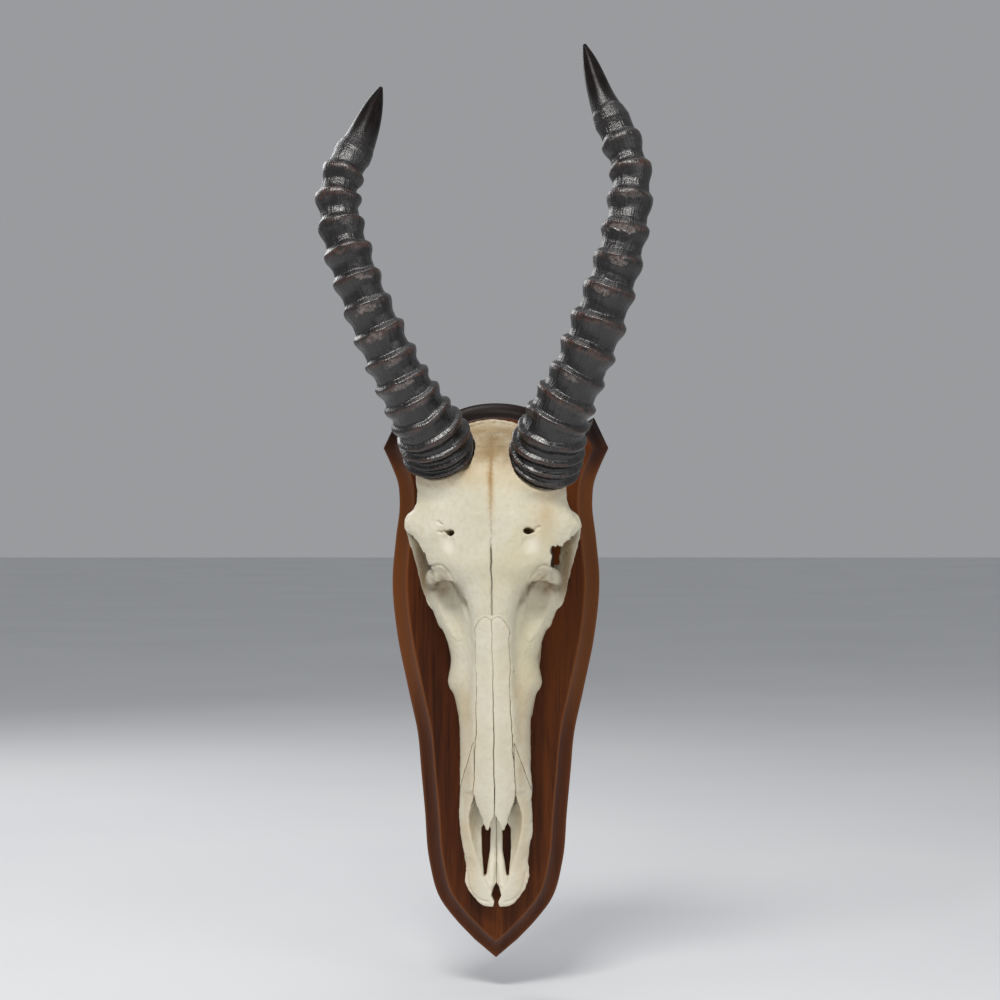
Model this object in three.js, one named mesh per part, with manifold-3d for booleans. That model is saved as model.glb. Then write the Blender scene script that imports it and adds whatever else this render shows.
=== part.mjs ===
// A topi skull with both horns, fixed on a shaped wooden wall plaque.
//
// Millimetres, +Z up. The wall is the plane y = 0, and the skull faces -Y. The origin is on the
// plaque's back face, in the middle of its height. Depths are given as distances from the wall.

import * as THREE from 'three';
import { mergeVertices } from 'three/addons/utils/BufferGeometryUtils.js';
import Module from 'manifold-3d';

const wasm = await Module();
wasm.setup();

// Fit between neighbouring pieces
const GAP = 0.3;

// Plaque: half outline from the apex of the top arch to the pointed foot
const PLAQUE_THICK = 20;
const PLAQUE_EDGE = 9;
const MOULDING_WIDTH = 11;
const PLAQUE_TOP = 235;
const PLAQUE_FOOT = -234.4;
const ARCH_SHOULDER = [56, 213];
const ARCH_REACH = 34;
const EAR_DIP = [70, 214];
const EAR_TOP = [83, 223];
const EAR_TIP = [95.3, 197];
const WAIST_CURVE = [[88, 181], [83.2, 168], [81.6, 150], [84.6, 122], [87.6, 85], [83.6, 40]];
const LOWER_CURVE = [[74, -8], [66, -46], [63.4, -75], [60.2, -110], [56.5, -152], [47.5, -184]];
const FOOT_CURVE = [[34.3, -202], [18.2, -219]];

// Skull: the whole bone is turned a little, so its ridge leans to the viewer's left
const SKULL_TURN = THREE.MathUtils.degToRad(-2.8);
const SKULL_AXIS_X = -1;
const SKULL_AXIS_DEPTH = 60;
const BITE_DEPTH = 22.2;

// Lofts along the skull: height z, half width, front depth, back depth, squareness
const MAXILLA = [
  [-117.6, 16.8, 36, 27, 3], [-100, 16.8, 37, 27, 3], [-88, 29, 60, 27, 2.4], [-70, 30, 66, 27, 2.3],
  [-40, 29.6, 73, 29, 2.2], [-20, 31, 78, 31, 2.2], [-6, 35, 80, 32, 2.1], [4, 38.4, 81, 32, 2],
  [20, 36, 84, 33, 2], [30, 37.4, 86, 34, 2], [50, 44, 90, 36, 2], [66, 51, 90, 38, 2],
  [84, 55, 86, 42, 2.2], [98, 40, 80, 46, 2.2],
];
const FACE_BRIDGE = [
  [-86, 17, 64.5, 44, 3], [-60, 18, 72.5, 46, 2.8], [0, 17.5, 88.5, 48, 2.6], [40, 17.5, 100, 50, 2.6],
  [58, 19.5, 105.5, 52, 2.8], [76, 24, 110, 54, 3], [90, 31, 113.5, 56, 3.2], [104, 45, 117, 60, 3],
  [120, 46, 119, 60, 2.6], [140, 44, 121, 60, 2.4],
];
const FRONTAL = [
  [88, 38, 112, 86, 2.4], [98, 49, 115.5, 80, 2.4], [112, 60, 118, 74, 2.3], [124, 68, 120, 72, 2.3],
  [132, 71.3, 121, 74, 2.2], [140, 66.5, 122, 78, 2.2], [150, 61.5, 123, 76, 2.2],
  [162, 60, 123.5, 74, 2.2], [174, 56, 123, 76, 2.2], [186, 46, 120, 80, 2.2],
];
const BRAINCASE = [
  [118, 34, 112, 48, 2.2], [140, 41, 121, 42, 2.2], [165, 44, 123.5, 38, 2.2], [184, 44, 121, 37, 2.2],
  [197, 42, 114, 38, 2.2], [206, 37, 99, 40, 2.2], [212, 29, 84, 44, 2.2], [216, 14, 77, 56, 2.2],
];
const SKULL_BASE = [
  [66, 14, 60, 40, 2.5], [96, 15, 60, 36, 2.5], [140, 16, 60, 33, 2.5], [176, 17, 60, 30, 2.5],
  [204, 15, 60, 30, 2.5], [211, 12, 56, 34, 2.5],
];

// Cheek arch, from the upper jaw to behind the eye: side, depth, height
const CHEEK_ARCH = [
  [44, 58, 56], [51, 54, 76], [56, 52, 94], [60, 51, 120], [56, 50, 144], [50, 48, 164], [38, 52, 184],
];
const CHEEK_ARCH_HALF = [3.6, 8.5];
const EYE_BAR = [[62, 92, 134], [61.5, 80, 122], [58.5, 70, 108], [55, 64, 96], [52, 60, 82]];
const EYE_BAR_HALF = [6.8, 3.6];
const EYE_FRONT_RIM = [[33, 106, 93], [42, 101, 94], [49, 84, 91], [52, 62, 87]];
const EYE_FRONT_RIM_HALF = [3.6, 7];

// Hollows: side, depth and height of the middle, then the three half sizes
const EYE_SOCKET = [[75, 84, 111], [29, 34, 21.5]];
const TEAR_POCKET = [[38, 98, 68], [12.5, 27, 21]];
const TEMPLE_HOLLOW = [[60, 72, 164], [17, 22, 20]];
const BROW_HOLE = [[31.5, 120, 127.5], [3.4, 8, 2.6]];
const NOSE_CAVITY = [
  [-150, 18, 58, 33, 3], [-118, 19, 62, 33, 3], [-96, 18.5, 62, 34, 2.6], [-60, 14, 66, 38, 2.4],
  [-20, 9, 70, 46, 2.2],
];
const PALATE_HOLLOW = [[0, 22, 8], [17, 12, 84]];
const PALATE_NOTCH = [[0, 31, -122], [12.6, 14, 14]];
const BODY_AXIS = [[-124, 31], [-98, 33], [-84, 48], [0, 56], [60, 66], [110, 80], [160, 80], [216, 64]];
const BODY_FOOT = -117.6;
const BODY_BLEND = 5;
const BODY_REACH = 82;
const BODY_SEARCH_STEP = 0.4;

// Cheek teeth, front to back: length along the row, width across it
const TEETH = [[9, 8], [11, 10], [12, 11.5], [16, 13], [18.5, 14], [19, 13]];
const TOOTH_ROW_FOOT = -24;
const TOOTH_ROW_SIDE = [24, 31];
const TOOTH_SPACE = 0.6;
const TOOTH_ROOT_DEPTH = 50;
const TOOTH_SPREAD = 1.08;
const TOOTH_TAPER = 0.92;

// Back of the head: knobs as middle and half sizes
const CONDYLE = [[13, 40, 202], [8, 12, 8]];
const EAR_BULB = [[22, 37, 182], [8, 10, 10]];
const NECK_PROCESS = [[27, 39, 196], [5, 17, 8]];
const CHEEK_KNOB = [[34.4, 47, 1], [4.2, 8, 8]];
const NECK_HOLE = [[0, 46, 214], [9, 8, 14]];

// Nose bones: height, outer edge from the midline, depth of the top surface
const NASAL = [
  [58.5, 9, 105.4], [54, 12.4, 104.3], [40, 13.4, 100.3], [16, 13.8, 93.4], [-20, 13.9, 84],
  [-50, 15, 76], [-70, 16.3, 70.5], [-92, 16.9, 63.6], [-102, 14.6, 60], [-112, 10.8, 56.8],
  [-120.5, 7.4, 54],
];
const NASAL_THICK = 3.4;
const NASAL_SPLIT = 0.35;
const NASAL_DROOP = 3.2;
const NASAL_NOTCH = [-108, 4.4];
const NASAL_ROOM_ABOVE = 1.5;
const NASAL_ROOM_PAST_MIDDLE = 1;

// Front jaw bones: half outline seen from the front, the slot in it, its thickness, and the wing that
// runs up the side as a loft whose rows end in the distance of its middle from the midline
const PREMAX_OUTLINE = [
  [30, -98], [30.4, -112], [29.6, -126], [27.4, -142], [26.3, -154], [26.2, -166], [24, -175], [17.5, -182.6],
  [10.5, -186], [3.2, -186],
];
const PREMAX_NOTCH = [[1.7, -183], [4.3, -177.5], [0.45, -167]];
const PREMAX_TONGUE_TOP = -113;
const PREMAX_TONGUE = [0.45, 4.2];
const PREMAX_SLOT = [
  [4.6, -122], [5.6, -140], [8.6, -160.5], [11.8, -160], [12.4, -118], [17.3, -118], [17.3, -98],
];
const PREMAX_DEPTH = [25, 35];
const PREMAX_WING = [
  [-180, 4.5, 35.5, 26, 2.4, 13.5], [-168, 6.6, 37.5, 25.5, 2.4, 19], [-155, 5, 40, 26, 2.3, 21.2],
  [-140, 4.6, 43.5, 26, 2.3, 22.9], [-124, 4.5, 47.5, 26, 2.3, 25.2], [-113, 4.1, 52, 26, 2.3, 26.9],
  [-100, 5.5, 57, 27, 2.3, 25.4], [-86, 6.4, 62, 29, 2.3, 24], [-68, 6.2, 66, 31, 2.3, 23.8],
  [-50, 6.1, 70, 31, 2.3, 23.7],
];

// The slanting seam between the upper jaw and the wing: side and height at its top and its foot
const SEAM_TOP = [18, -50];
const SEAM_FOOT = [30, -88];
const PALATE_EDGE = { side: 17, depth: 37.6, height: -84 };

// Horns: middle line as side, depth and height, and the half width at each point
const HORN_RIGHT_LINE = [
  [38.5, 103.5, 179], [43, 118, 200], [50.3, 128, 221], [63.5, 137, 249], [80.7, 143.5, 292],
  [96.5, 144, 341.5], [105.3, 137.5, 382.7], [107.5, 128.5, 413.3], [99.3, 119, 442.5], [86.1, 110.5, 473.4],
  [73.9, 104.5, 512.2], [71.4, 104, 520.1],
];
const HORN_RIGHT_HALF = [29.6, 30, 27, 24.2, 22.8, 20.5, 19.3, 17.8, 16.2, 11, 4.2, 1.4];
const HORN_LEFT_LINE = [
  [-44.8, 103, 187], [-49, 116, 203], [-60.2, 127, 222], [-76, 136.5, 251], [-93.9, 143, 289],
  [-112.3, 143, 335.5], [-123.2, 135.5, 376.7], [-124.7, 129, 399], [-120, 122.5, 417.4],
  [-110.1, 116, 437.3], [-95.1, 107.5, 477.3], [-92.2, 106.5, 485.2],
];
const HORN_LEFT_HALF = [29.4, 29.8, 26.4, 23, 21.4, 20, 19, 17.8, 16.6, 13.4, 4.8, 1.4];
const HORN_RINGS = 16;
const RING_HEIGHT = 3.4;
const RING_RUN = 0.85;
const RING_CREST = 0.68;
const RING_CROWDED = 10;
const RING_CLOSEST = 0.3;
const HORN_SEAT_TILT = THREE.MathUtils.degToRad(40);
const HORN_RIGHT = { line: HORN_RIGHT_LINE, half: HORN_RIGHT_HALF, roll: THREE.MathUtils.degToRad(20) };
const HORN_LEFT = { line: HORN_LEFT_LINE, half: HORN_LEFT_HALF, roll: THREE.MathUtils.degToRad(-15) };
const FOOT_BLEND = 0.12;
const RING_FADE = 0.12;

// How finely curved surfaces are divided
const BODY_SIDES = 24;
const BODY_STEPS = 31;
const LOFT_STEP = 9;
const HORN_SIDES = 11;
const RING_PHASES = [0, 0.34, RING_CREST];
const TIP_STATIONS = [RING_RUN, 0.89, 0.93, 0.97, 1];
const SEAT_STATIONS = [0, 0.04, 0.08, 0.12, 0.17];
const LENGTH_MARKS = 220;
const BAR_SIDES = 6;
const NASAL_STEPS = [3, 13];
const WING_SIDES = 10;
const WING_STEP = 14;
const CAVITY_SIDES = 12;
const TOOTH_SIDES = 6;
const KNOB_DETAIL = 8;
const HOLLOW_DETAIL = 11;
const EGG_RINGS_SHARE = 0.7;
const OUTLINE_STEPS = 2;
const MOULDING_STEPS = 2;
const JAW_OUTLINE_STEPS = 3;
const MERGE_DISTANCE = 1e-4;

// Blocks that are larger than what they cut
const SEAM_BLOCK = 200;
const SIDE_BLOCK = [100, 300, 500];
const BACK_BLOCK = [400, 100, 700];

// Turns a closed three.js geometry into a solid that can be joined and cut.
function solid(geometry) {
  geometry.deleteAttribute('normal');
  geometry.deleteAttribute('uv');
  const merged = mergeVertices(geometry, MERGE_DISTANCE);
  return new wasm.Manifold(new wasm.Mesh({
    numProp: 3,
    vertProperties: Float32Array.from(merged.attributes.position.array),
    triVerts: Uint32Array.from(merged.index.array),
  }));
}

// Moves every vertex of a geometry by a function of its position.
function reshape(geometry, place) {
  const position = geometry.attributes.position;
  const vertex = new THREE.Vector3();
  for (let i = 0; i < position.count; i += 1) {
    vertex.fromBufferAttribute(position, i);
    place(vertex);
    position.setXYZ(i, vertex.x, vertex.y, vertex.z);
  }
  return geometry;
}

// A smooth function through rows of [key, value, value, ...], rising in the key.
function through(rows) {
  const sorted = [...rows].sort((a, b) => a[0] - b[0]);
  const keys = sorted.map((row) => row[0]);
  const values = sorted.flatMap((row) => row.slice(1));
  const interpolant = new THREE.CubicInterpolant(keys, values, sorted[0].length - 1);
  return (key) => Array.from(interpolant.evaluate(key));
}

// Point of a rounded box section at a direction given by a cosine and a sine.
function rounded(cosine, sine, squareness) {
  const reach = (Math.abs(cosine) ** squareness + Math.abs(sine) ** squareness) ** (-1 / squareness);
  return [cosine * reach, sine * reach];
}

// A body along the skull whose section is a rounded box between a front and a back depth.
function loft(rows, sides, step = LOFT_STEP) {
  const section = through(rows);
  const low = rows[0][0];
  const high = rows[rows.length - 1][0];
  const drum = new THREE.CylinderGeometry(1, 1, 1, sides, Math.max(2, Math.round((high - low) / step)));
  return solid(reshape(drum, (v) => {
    const z = low + (v.y + 0.5) * (high - low);
    const [half, front, back, squareness, centre = 0] = section(z);
    const radius = Math.hypot(v.x, v.z);
    const [across, deep] = radius > 0 ? rounded(v.x / radius, v.z / radius, squareness) : [0, 0];
    v.set(centre + across * radius * half, -(front + back) / 2 - (deep * radius * (front - back)) / 2, z);
  }));
}

// How far a point lies inside one of the skull's main bodies, in about millimetres.
function depthInside(rows, x, depth, z) {
  if (z < rows.low || z > rows.high) return -BODY_REACH;
  const [half, front, back, squareness] = rows.section(z);
  const deep = (front - back) / 2;
  const reach = Math.abs(x / half) ** squareness + Math.abs((depth - back - deep) / deep) ** squareness;
  return (1 - reach ** (1 / squareness)) * Math.min(half, deep);
}

// The larger of two depths, rounded where the two are nearly equal.
function softly(a, b) {
  const near = Math.max(0, BODY_BLEND - Math.abs(a - b)) / BODY_BLEND;
  return Math.max(a, b) + (near * near * BODY_BLEND) / 4;
}

// The skull's main bodies as one skin, found along rays from an axis inside them.
function blendedBody(parts) {
  const bodies = parts.map((rows) => ({
    section: through(rows), low: rows[0][0], high: rows[rows.length - 1][0],
  }));
  const axis = through(BODY_AXIS);
  const low = BODY_FOOT;
  const high = BODY_AXIS[BODY_AXIS.length - 1][0];
  const drum = new THREE.CylinderGeometry(1, 1, 1, BODY_SIDES, BODY_STEPS);
  return solid(reshape(drum, (v) => {
    const z = low + (v.y + 0.5) * (high - low);
    const [middle] = axis(z);
    const radius = Math.hypot(v.x, v.z);
    if (radius === 0) {
      v.set(0, -middle, z);
      return;
    }
    const [sine, cosine] = [v.x / radius, v.z / radius];
    const inside = (reach) => bodies
      .map((body) => depthInside(body, sine * reach, middle + cosine * reach, z))
      .reduce(softly);
    let reach = BODY_REACH;
    while (reach > 1 && inside(reach) < 0) reach -= BODY_SEARCH_STEP;
    v.set(sine * reach * radius, -middle - cosine * reach * radius, z);
  }));
}

// An egg-shaped lump or hollow with its middle given as side, depth and height.
function egg([middle, half], side, detail) {
  const ball = new THREE.SphereGeometry(1, detail, Math.round(detail * EGG_RINGS_SHARE));
  ball.scale(half[0], half[1], half[2]);
  ball.translate(side * middle[0], -middle[1], middle[2]);
  return solid(ball);
}

// A flat bar of bone along a curve, thin across the skull and deep towards the wall.
function bar(points, [thin, deep], side = 1) {
  const line = new THREE.CatmullRomCurve3(points.map(([x, d, z]) => new THREE.Vector3(side * x, -d, z)));
  const drum = new THREE.CylinderGeometry(1, 1, 1, BAR_SIDES, points.length + 1);
  return solid(reshape(drum, (v) => {
    const t = v.y + 0.5;
    const middle = line.getPointAt(t);
    const along = line.getTangentAt(t);
    const outward = new THREE.Vector3(1, 0, 0).addScaledVector(along, -along.x).normalize();
    const broad = new THREE.Vector3().crossVectors(along, outward);
    middle.addScaledVector(outward, v.x * thin).addScaledVector(broad, -v.z * deep);
    v.copy(middle);
  }));
}

// Both sides of a mirrored feature, as one list.
function bothSides(make) {
  return [make(1), make(-1)];
}

function joined(first, others) {
  return others.reduce((sum, next) => sum.add(next), first);
}

function cut(first, others) {
  return others.reduce((rest, next) => rest.subtract(next), first);
}

// Rounded roof over the nose: the depth of the surface at a distance from the midline.
function nasalSurface(x, top, edge) {
  return top - NASAL_DROOP * (x / edge) ** 2;
}

// One nose bone: a long curved strip that narrows to a point over the nose opening.
function nasal(side, grow = 0) {
  const shape = through(NASAL);
  const low = NASAL[NASAL.length - 1][0];
  const high = NASAL[0][0] + grow;
  const strip = new THREE.BoxGeometry(1, 1, 1, NASAL_STEPS[0], 1, NASAL_STEPS[1]);
  return solid(reshape(strip, (v) => {
    const z = low + (v.z + 0.5) * (high - low);
    const [edge, top] = shape(z);
    const notch = Math.max(0, (NASAL_NOTCH[0] - z) / (NASAL_NOTCH[0] - low)) * NASAL_NOTCH[1];
    const inner = grow > 0 ? -NASAL_ROOM_PAST_MIDDLE : NASAL_SPLIT + notch;
    const x = inner + (side * v.x + 0.5) * (edge + grow - inner);
    const depth = nasalSurface(Math.min(x, edge), top, edge);
    const above = grow > 0 ? NASAL_ROOM_ABOVE : 0;
    v.set(side * x, -(v.y < 0 ? depth + above : depth - NASAL_THICK - grow), z);
  }));
}

// One front jaw bone: a flat slotted plate with a tongue by the midline and a wing up the side.
function premaxilla(side) {
  const outline = new THREE.Shape();
  outline.moveTo(...PREMAX_OUTLINE[0]);
  outline.splineThru(PREMAX_OUTLINE.slice(1).map(([x, z]) => new THREE.Vector2(x, z)));
  PREMAX_NOTCH.forEach(([x, z]) => outline.lineTo(x, z));
  outline.lineTo(PREMAX_TONGUE[0], PREMAX_TONGUE_TOP);
  outline.lineTo(PREMAX_TONGUE[1], PREMAX_TONGUE_TOP);
  PREMAX_SLOT.forEach(([x, z]) => outline.lineTo(x, z));
  const plate = new THREE.ExtrudeGeometry(outline, {
    depth: PREMAX_DEPTH[1] - PREMAX_DEPTH[0], bevelEnabled: false, curveSegments: JAW_OUTLINE_STEPS,
  });
  plate.rotateX(Math.PI / 2);
  plate.translate(0, -PREMAX_DEPTH[0], 0);
  const bone = solid(plate).add(loft(PREMAX_WING, WING_SIDES, WING_STEP)).subtract(beyondSeam(1));
  return side > 0 ? bone : bone.mirror([1, 0, 0]);
}

// A block with one face along the slanting seam: direction 1 lies above the seam, -1 below it.
function beyondSeam(direction) {
  const block = new THREE.BoxGeometry(SEAM_BLOCK, SEAM_BLOCK, SEAM_BLOCK);
  block.translate(0, 0, direction * (SEAM_BLOCK / 2) - GAP / 2);
  block.rotateY(Math.atan2(SEAM_TOP[1] - SEAM_FOOT[1], SEAM_FOOT[0] - SEAM_TOP[0]));
  block.translate(SEAM_TOP[0], 0, SEAM_TOP[1]);
  return solid(block);
}

// What the upper jaw leaves to the front jaw bones: all below the seam, and the front of the palate.
function frontJawRoom(side) {
  const { side: width, depth, height } = PALATE_EDGE;
  const wing = beyondSeam(-1).translate([0, 0, GAP]).intersect(sidePart(width));
  const palate = new THREE.BoxGeometry(width, SEAM_BLOCK, SEAM_BLOCK);
  palate.translate(width / 2, -depth - SEAM_BLOCK / 2, height - SEAM_BLOCK / 2);
  const room = wing.intersect(belowHeight(SEAM_TOP[1])).add(solid(palate));
  return side > 0 ? room : room.mirror([1, 0, 0]);
}

// Everything further to the side than a distance from the midline.
function sidePart(distance) {
  const block = new THREE.BoxGeometry(...SIDE_BLOCK);
  block.translate(SIDE_BLOCK[0] / 2 + distance, 0, 0);
  return solid(block);
}

function belowHeight(height) {
  const block = new THREE.BoxGeometry(...SIDE_BLOCK);
  block.translate(0, 0, height - SIDE_BLOCK[2] / 2);
  return solid(block);
}

// A row of cheek teeth, each a squarish block with a rounded outline.
function toothRow(side) {
  const total = TEETH.reduce((sum, [length]) => sum + length + TOOTH_SPACE, 0);
  let z = TOOTH_ROW_FOOT;
  return TEETH.map(([length, width]) => {
    const along = (z + length / 2 - TOOTH_ROW_FOOT) / total;
    const x = THREE.MathUtils.lerp(TOOTH_ROW_SIDE[0], TOOTH_ROW_SIDE[1], along);
    const height = TOOTH_ROOT_DEPTH - BITE_DEPTH;
    const crown = new THREE.CylinderGeometry(0.5, 0.5 * TOOTH_TAPER, height, TOOTH_SIDES, 1);
    crown.rotateY(Math.PI / TOOTH_SIDES);
    crown.scale(width * TOOTH_SPREAD, 1, length * TOOTH_SPREAD);
    crown.translate(side * x, -(TOOTH_ROOT_DEPTH + BITE_DEPTH) / 2, z + length / 2);
    z += length + TOOTH_SPACE;
    return solid(crown);
  });
}

// Spacing of the horn rings: crowded at the base, and even in the upper half.
function ringSpacing(index) {
  const along = Math.min((index + 0.5) / RING_CROWDED, 1);
  return RING_CLOSEST + (1 - RING_CLOSEST) * Math.sin((Math.PI / 2) * along) ** 2;
}

// Places along a horn as [fraction of its length, phase within its ring].
function hornStations() {
  const spaces = Array.from({ length: HORN_RINGS }, (_, index) => ringSpacing(index));
  const total = spaces.reduce((sum, space) => sum + space, 0);
  const stations = [];
  let start = 0;
  spaces.forEach((space) => {
    RING_PHASES.forEach((phase) => stations.push([((start + phase * space) / total) * RING_RUN, phase]));
    start += space;
  });
  TIP_STATIONS.forEach((along) => stations.push([along, 0]));
  return stations;
}

// Height of a ring at a phase: a smooth rise from below, and a sharper step at its upper edge.
function ringRise(phase) {
  const rise = phase < RING_CREST ? phase / RING_CREST : (1 - phase) / (1 - RING_CREST);
  return Math.sin((rise * Math.PI) / 2) ** 2;
}

// A horn swept along its middle line, with its foot cut to the slope of the forehead.
function sweepHorn({ line: points, half, roll }, stations, grow) {
  const middles = points.map(([x, d, z]) => new THREE.Vector3(x, -d, z));
  const line = new THREE.CatmullRomCurve3(middles, false, 'centripetal');
  const lengths = line.getLengths(LENGTH_MARKS);
  const halfWidth = through(points.map((_, index) => {
    const mark = Math.round((index / (points.length - 1)) * LENGTH_MARKS);
    return [lengths[mark] / lengths[LENGTH_MARKS], half[index]];
  }));
  const foot = new THREE.Vector3(0, -Math.sin(HORN_SEAT_TILT), Math.cos(HORN_SEAT_TILT));
  foot.applyAxisAngle(new THREE.Vector3(0, 1, 0), roll);
  const drum = new THREE.CylinderGeometry(1, 1, 1, HORN_SIDES, stations.length - 1);
  return solid(reshape(drum, (v) => {
    const [along, phase] = stations[Math.round((v.y + 0.5) * (stations.length - 1))];
    const middle = line.getPointAt(along);
    const normal = line.getTangentAt(along).lerp(foot, Math.max(0, 1 - along / FOOT_BLEND)).normalize();
    const across = new THREE.Vector3().crossVectors(normal, new THREE.Vector3(0, -1, 0)).normalize();
    const front = new THREE.Vector3().crossVectors(across, normal);
    const fade = THREE.MathUtils.smoothstep(1 - along, 1 - RING_RUN, 1 - RING_RUN + RING_FADE);
    const reach = halfWidth(along)[0] + (ringRise(phase) - 1) * RING_HEIGHT * fade + grow;
    if (along === 0) middle.addScaledVector(foot, -grow);
    v.copy(middle.addScaledVector(across, v.x * reach).addScaledVector(front, v.z * reach));
  }));
}

function horn(form) {
  return sweepHorn(form, hornStations(), 0);
}

// The room that a horn's foot takes in the skull, with the gap round it.
function hornSeat(form) {
  return sweepHorn(form, SEAT_STATIONS.map((along) => [along, RING_CREST]), GAP);
}

function skullSpaceToWall(manifold) {
  const turn = THREE.MathUtils.radToDeg(SKULL_TURN);
  return manifold
    .translate([0, SKULL_AXIS_DEPTH, 0])
    .rotate([0, 0, turn])
    .translate([SKULL_AXIS_X, -SKULL_AXIS_DEPTH, 0]);
}

// The skull itself, in its own straight frame.
function skullBone() {
  let bone = blendedBody([MAXILLA, FACE_BRIDGE, FRONTAL, BRAINCASE, SKULL_BASE]);
  [EYE_SOCKET, TEAR_POCKET, TEMPLE_HOLLOW].forEach((hollow) => {
    bone = cut(bone, bothSides((side) => egg(hollow, side, HOLLOW_DETAIL)));
  });
  bone = cut(bone, bothSides((side) => egg(BROW_HOLE, side, KNOB_DETAIL)));
  bone = cut(bone, [PALATE_HOLLOW, PALATE_NOTCH].map((hollow) => egg(hollow, 1, HOLLOW_DETAIL)));
  bone = cut(bone, bothSides(frontJawRoom));
  bone = joined(bone, bothSides((side) => bar(CHEEK_ARCH, CHEEK_ARCH_HALF, side)));
  bone = joined(bone, bothSides((side) => bar(EYE_BAR, EYE_BAR_HALF, side)));
  bone = joined(bone, bothSides((side) => bar(EYE_FRONT_RIM, EYE_FRONT_RIM_HALF, side)));
  [CHEEK_KNOB, CONDYLE, EAR_BULB, NECK_PROCESS].forEach((knob) => {
    bone = joined(bone, bothSides((side) => egg(knob, side, KNOB_DETAIL)));
  });
  bone = bone.subtract(egg(NECK_HOLE, 1, HOLLOW_DETAIL));
  bone = joined(bone, bothSides((side) => toothRow(side)).flat());
  bone = bone.subtract(loft(NOSE_CAVITY, CAVITY_SIDES));
  bone = cut(bone, bothSides((side) => nasal(side, GAP)));
  return bone;
}

// Half of the plaque's outline, from the top of the arch down to the pointed foot.
function plaqueHalf() {
  const vector = ([x, z]) => new THREE.Vector2(x, z);
  const half = new THREE.Path();
  half.moveTo(0, PLAQUE_TOP);
  half.quadraticCurveTo(ARCH_REACH, PLAQUE_TOP, ...ARCH_SHOULDER);
  half.quadraticCurveTo(...EAR_DIP, ...EAR_TOP);
  half.lineTo(...EAR_TIP);
  half.splineThru([...WAIST_CURVE, ...LOWER_CURVE, ...FOOT_CURVE].map(vector));
  half.lineTo(0, PLAQUE_FOOT);
  return half.getPoints(OUTLINE_STEPS);
}

// The wooden plaque: a shaped board with a moulded edge all round its front.
function plaque() {
  const right = plaqueHalf();
  const left = right.slice(1, -1).reverse().map(({ x, y }) => new THREE.Vector2(-x, y));
  const board = new THREE.ExtrudeGeometry(new THREE.Shape([...right, ...left]), {
    depth: PLAQUE_EDGE,
    bevelEnabled: true,
    bevelThickness: PLAQUE_THICK - PLAQUE_EDGE,
    bevelSize: MOULDING_WIDTH,
    bevelOffset: -MOULDING_WIDTH,
    bevelSegments: MOULDING_STEPS,
  });
  board.rotateX(Math.PI / 2);
  const back = new THREE.BoxGeometry(...BACK_BLOCK);
  back.translate(0, BACK_BLOCK[1] / 2, 0);
  return solid(board).subtract(solid(back));
}

// Materials
const wood = new THREE.MeshStandardMaterial({ color: '#6b3a24', roughness: 0.45, metalness: 0 });
const bone = new THREE.MeshStandardMaterial({ color: '#d6cbb2', roughness: 0.6, metalness: 0 });
const noseBone = new THREE.MeshStandardMaterial({ color: '#d8ccb6', roughness: 0.6, metalness: 0 });
const jawBone = new THREE.MeshStandardMaterial({ color: '#dcd6c2', roughness: 0.6, metalness: 0 });
const hornDark = new THREE.MeshStandardMaterial({ color: '#2f2a27', roughness: 0.4, metalness: 0 });

const topi = new THREE.Group();

// Adds a finished solid to the group as a named mesh.
function addMesh(name, manifold, material) {
  const { vertProperties, triVerts } = manifold.getMesh();
  const geometry = new THREE.BufferGeometry();
  geometry.setAttribute('position', new THREE.BufferAttribute(vertProperties, 3));
  geometry.setIndex(new THREE.BufferAttribute(triVerts, 1));
  geometry.computeVertexNormals();
  const mesh = new THREE.Mesh(geometry, material.clone());
  mesh.name = name;
  topi.add(mesh);
}

const seats = [hornSeat(HORN_RIGHT), hornSeat(HORN_LEFT)];

addMesh('plaque', plaque(), wood);
addMesh('skull', cut(skullSpaceToWall(skullBone()), seats), bone);
addMesh('nasal_left', skullSpaceToWall(nasal(-1)), noseBone);
addMesh('nasal_right', skullSpaceToWall(nasal(1)), noseBone);
addMesh('premaxilla_left', skullSpaceToWall(premaxilla(-1)), jawBone);
addMesh('premaxilla_right', skullSpaceToWall(premaxilla(1)), jawBone);
addMesh('horn_left', horn(HORN_LEFT), hornDark);
addMesh('horn_right', horn(HORN_RIGHT), hornDark);

export default topi;
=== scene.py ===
# A topi skull with both horns on a shaped wooden plaque, dressed for rendering.
#
# The skull's bones are shaped as distance fields on a fine grid and turned into meshes. Their sizes
# are millimetres in the skull's own straight frame: side, depth from the wall, height.

import math

import bpy
import numpy as np
import openvdb
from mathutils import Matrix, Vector


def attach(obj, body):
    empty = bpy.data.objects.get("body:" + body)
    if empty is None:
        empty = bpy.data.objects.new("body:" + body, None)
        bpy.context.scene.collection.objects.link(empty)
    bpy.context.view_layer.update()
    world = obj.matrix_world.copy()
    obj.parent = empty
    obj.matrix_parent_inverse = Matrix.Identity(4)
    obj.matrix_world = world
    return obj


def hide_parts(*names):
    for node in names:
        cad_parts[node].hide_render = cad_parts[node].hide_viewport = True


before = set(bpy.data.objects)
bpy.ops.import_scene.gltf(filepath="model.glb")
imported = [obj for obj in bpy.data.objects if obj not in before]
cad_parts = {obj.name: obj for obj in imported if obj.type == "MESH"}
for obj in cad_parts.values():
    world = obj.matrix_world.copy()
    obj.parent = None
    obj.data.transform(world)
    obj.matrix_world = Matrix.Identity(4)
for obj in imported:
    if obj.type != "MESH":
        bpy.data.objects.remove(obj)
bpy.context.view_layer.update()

MM = 0.001
SIDES = ((1, "right"), (-1, "left"))

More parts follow.
